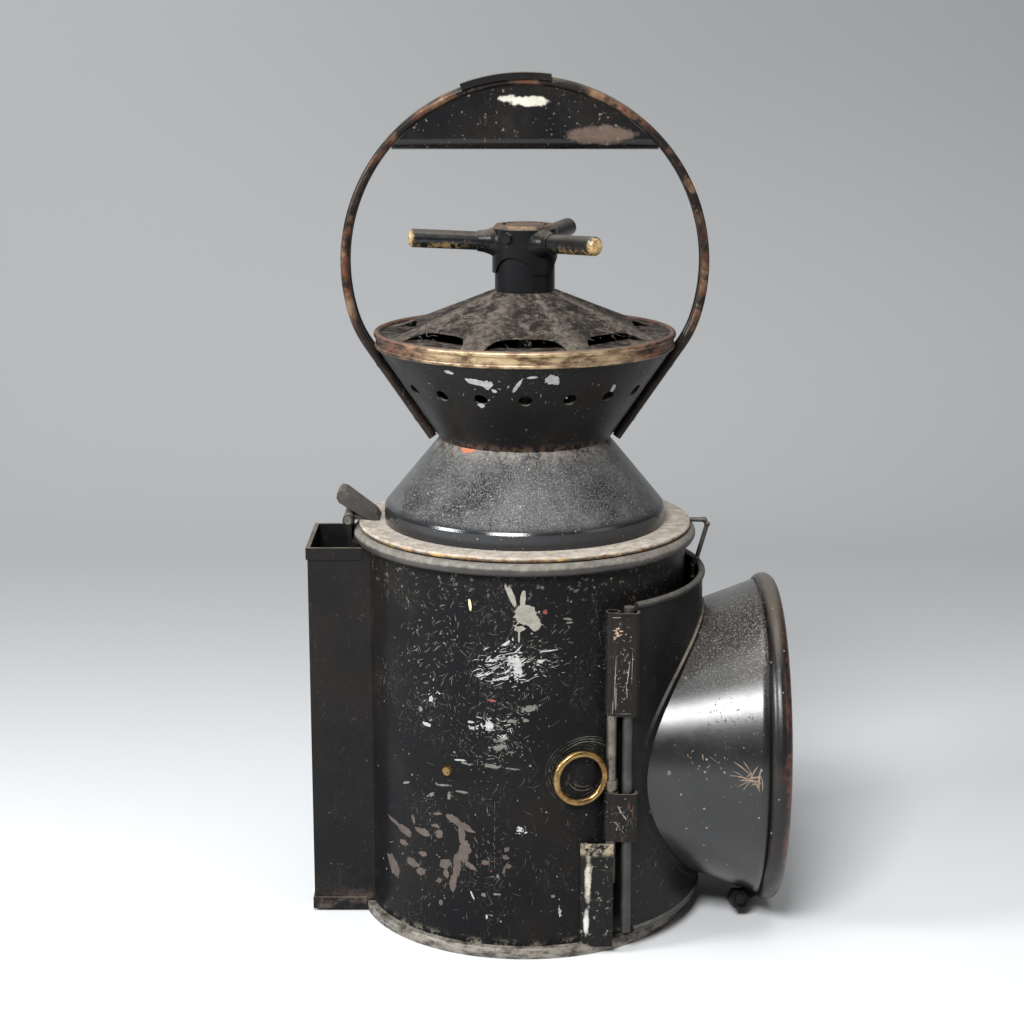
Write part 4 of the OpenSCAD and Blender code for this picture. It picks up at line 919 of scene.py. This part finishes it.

# Painted highlight: the long upright strokes near the guide's left edge stand for the line of light on the
# rolled tube under the flat plate; the other strokes are scrape marks from the pin and from hands.
scrapes_and_highlight = Scales(43, on_guide)
for x, z, length, width, slant in (
    (32.7, 107, 21, 0.30, -88), (33.1, 101, 9, 0.40, -90), (37.6, 111, 9, 0.34, -84),
    (37.0, 104, 6, 0.30, -96), (38.9, 113, 13, 0.16, -89), (31.9, 97.5, 5, 0.22, -90),
    (35.0, 58, 3.4, 0.5, 60), (36.4, 55.6, 3.8, 0.4, 55), (34.2, 52.0, 2.6, 0.26, 50),
    (36.2, 95.2, 5, 0.16, 0), (33.0, 131.8, 3.2, 0.4, 0),
):
    scrapes_and_highlight.stroke(x, z, length, width, slant)
scrapes_and_highlight.cluster(46, 36, 114, 4.2, 19, (-88, -60, 20), (0.4, 1.8), (0.08, 0.22))
scrapes_and_highlight.cluster(18, 36, 55, 4, 8, (-88, 45, 20), (0.4, 1.8), (0.08, 0.22))
scrapes_and_highlight.build("guide_scrapes_and_highlight", flake("flake_scrapes_and_highlight", (0.26, 0.235, 0.20), 0.45), "lens_door")
solder = Scales(47, on_guide)
solder.shatter(20, 33.4, 126.0, 1.3, 2.2, 0, (0.25, 0.7))
solder.build("solder_guide", flake("flake_solder", (0.42, 0.28, 0.20), 0.35), "lens_door")


def crown_height(r):
    """Height of the crown's cone at a radius."""
    return CROWN_TOP_Z - (r - CROWN_TOP_R) * CROWN_DROP / CROWN_RUN


def crown_fluff():
    """Lint caught on the crown: short curved hairs, closed tubes of three sides."""
    rng = random.Random(53)
    verts, faces = [], []
    for _ in range(420):
        az = rng.uniform(0, 2 * math.pi)
        r = rng.uniform(13.5, 47)
        p = Vector((r * math.cos(az), r * math.sin(az), crown_height(r) - 0.2))
        d = Vector((rng.gauss(0, 1), rng.gauss(0, 1), rng.gauss(0.25, 0.45))).normalized()
        turn = Vector((rng.gauss(0, 1), rng.gauss(0, 1), rng.gauss(0, 0.6))) * 0.35
        length, w, steps = rng.uniform(1.0, 3.6), rng.uniform(0.045, 0.10), 4
        base = len(verts)
        for k in range(steps + 1):
            side = d.orthogonal().normalized()
            other = d.cross(side).normalized()
            taper = w * (1.0 - 0.6 * k / steps)
            for j in range(3):
                t = 2 * math.pi * j / 3
                verts.append(tuple(p + (side * math.cos(t) + other * math.sin(t)) * taper))
            p = p + d * (length / steps)
            d = (d + turn).normalized()
            p.z = max(p.z, crown_height(min(49.0, max(CROWN_TOP_R, p.xy.length))) - 0.9)
        for k in range(steps):
            for j in range(3):
                a, b = base + 3 * k + j, base + 3 * k + (j + 1) % 3
                faces.append((a, b, b + 3, a + 3))
        faces.append((base + 2, base + 1, base))
        faces.append((base + 3 * steps, base + 3 * steps + 1, base + 3 * steps + 2))
    return own_piece("crown_fluff", verts, faces, flake("fluff", (0.25, 0.217, 0.178), 0.95), "lid")


crown_fluff()


def smooth_hood():
    """The hood again, in finer facets: the same saddle on the door and the same circle inside the bezel."""
    n, rows = 192, 10

    def ring(k, inner):
        f = k / rows
        out = []
        for i in range(n):
            a = 2 * math.pi * i / n
            p, q = HOOD_R0 - HOOD_T * inner, HOOD_R1 - HOOD_T * inner
            foot = math.sqrt(DOOR_R * DOOR_R - (p * math.cos(a)) ** 2)
            start = (foot, p * math.cos(a), HOOD_Z + p * math.sin(a))
            end = (HOOD_X1, q * math.cos(a), HOOD_Z + q * math.sin(a))
            out.append(tuple(u + (v - u) * f for u, v in zip(start, end)))
        return out

    rings = [ring(k, 0) for k in range(rows + 1)] + [ring(k, 1) for k in range(rows, -1, -1)]
    verts = [v for r in rings for v in r]
    faces = []
    for k in range(len(rings) - 1):
        for i in range(n):
            j = (i + 1) % n
            faces.append((k * n + i, k * n + j, (k + 1) * n + j, (k + 1) * n + i))
    obj = own_piece("hood_shown", verts, faces, HOOD, "lens_door")
    for i, poly in enumerate(obj.data.polygons):
        if rows * n <= i < (rows + 1) * n:
            poly.use_smooth = False
    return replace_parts(obj, "lens_hood")


smooth_hood()

missing = sorted(set(nodes) - {n for names in LOOK.values() for n in names})
if missing:
    raise RuntimeError(f"no material for {missing}")


# ---------------------------------------------------------------- stage, light and camera
def stage_material(name, colour):
    m = Mat(name)
    n = m.noise(420, 3, 0.5)
    # Painted shade: the paper is darkened towards the back, towards the top and on the far left, where less
    # light falls.
    shade = m.mix(m.step(m.y, -60, 480), colour, tuple(c * 0.70 for c in colour))
    shade = m.mix(m.step(m.z, 10, 380), shade, tuple(c * 0.50 for c in colour))
    far_left = m.mul(m.step(m.x, 200, -700), m.step(m.y, -100, 500))
    shade = m.mix(far_left, shade, tuple(c * 0.66 for c in colour))
    return m.finish(m.mix(m.mul(n, 0.08), shade, tuple(c * 0.9 for c in colour)), 0.7)


def area(name, place, target, width, height, power, colour=(1, 1, 1)):
    light = bpy.data.lights.new(name, "AREA")
    light.shape = "RECTANGLE"
    light.size, light.size_y = width, height
    light.energy = power
    light.color = colour
    obj = bpy.data.objects.new(name, light)
    bpy.context.scene.collection.objects.link(obj)
    obj.location = place
    obj.rotation_euler = (Vector(target) - Vector(place)).to_track_quat("-Z", "Y").to_euler()
    return obj


def sweep():
    """Floor that curves up into a backdrop, in metres."""
    near, foot, curve, top, half_width, steps = -2.5, 0.55, 0.5, 2.4, 3.0, 16
    pts = [(near, 0.0), (foot, 0.0)]
    for i in range(1, steps + 1):
        a = math.radians(90 * i / steps)
        pts.append((foot + curve * math.sin(a), curve - curve * math.cos(a)))
    pts.append((foot + curve, top))
    verts = [(s * half_width, y, z) for y, z in pts for s in (-1, 1)]
    faces = [(2 * i, 2 * i + 1, 2 * i + 3, 2 * i + 2) for i in range(len(pts) - 1)]
    mesh = bpy.data.meshes.new("sweep")
    mesh.from_pydata(verts, [], faces)
    mesh.polygons.foreach_set("use_smooth", [True] * len(faces))
    obj = bpy.data.objects.new("sweep", mesh)
    bpy.context.scene.collection.objects.link(obj)
    mesh.materials.append(stage_material("sweep_paper", (0.60, 0.61, 0.62)))
    return obj


backdrop = sweep()

world = bpy.data.worlds.new("studio")
world.use_nodes = True
world.node_tree.nodes["Background"].inputs[0].default_value = (0.80, 0.84, 0.90, 1)
world.node_tree.nodes["Background"].inputs[1].default_value = 0.07
bpy.context.scene.world = world
bpy.context.scene.view_settings.view_transform = "Standard"

area("key", (-0.24, -0.90, 0.92), (0, 0, 0.10), 0.45, 0.30, 21)
area("top", (0.05, -0.15, 1.40), (0.04, -0.1, 0), 1.1, 0.7, 8)
area("right", (1.05, -0.45, 0.60), (0.05, 0, 0.12), 0.5, 0.9, 2, (1.0, 0.98, 0.95))
area("left", (-0.95, -0.38, 0.62), (0, 0, 0.10), 0.3, 0.3, 12, (0.95, 0.98, 1.0))

# The camera fitted to the photo: it looks down by PITCH at (AIM_X, 0, AIM_Z), in metres
PITCH = math.radians(13.2)
DISTANCE = 0.813
AIM_X, AIM_Z = -0.00484, 0.1569
SENSOR = 36.0
camera_data = bpy.data.cameras.new("camera")
camera_data.lens = SENSOR * 2100.0 / 1024.0
camera_data.sensor_width = SENSOR
camera = bpy.data.objects.new("camera", camera_data)
bpy.context.scene.collection.objects.link(camera)
camera.location = (AIM_X, -DISTANCE * math.cos(PITCH), AIM_Z + DISTANCE * math.sin(PITCH))
camera.rotation_euler = (math.radians(90) - PITCH, 0, 0)
bpy.context.scene.camera = camera
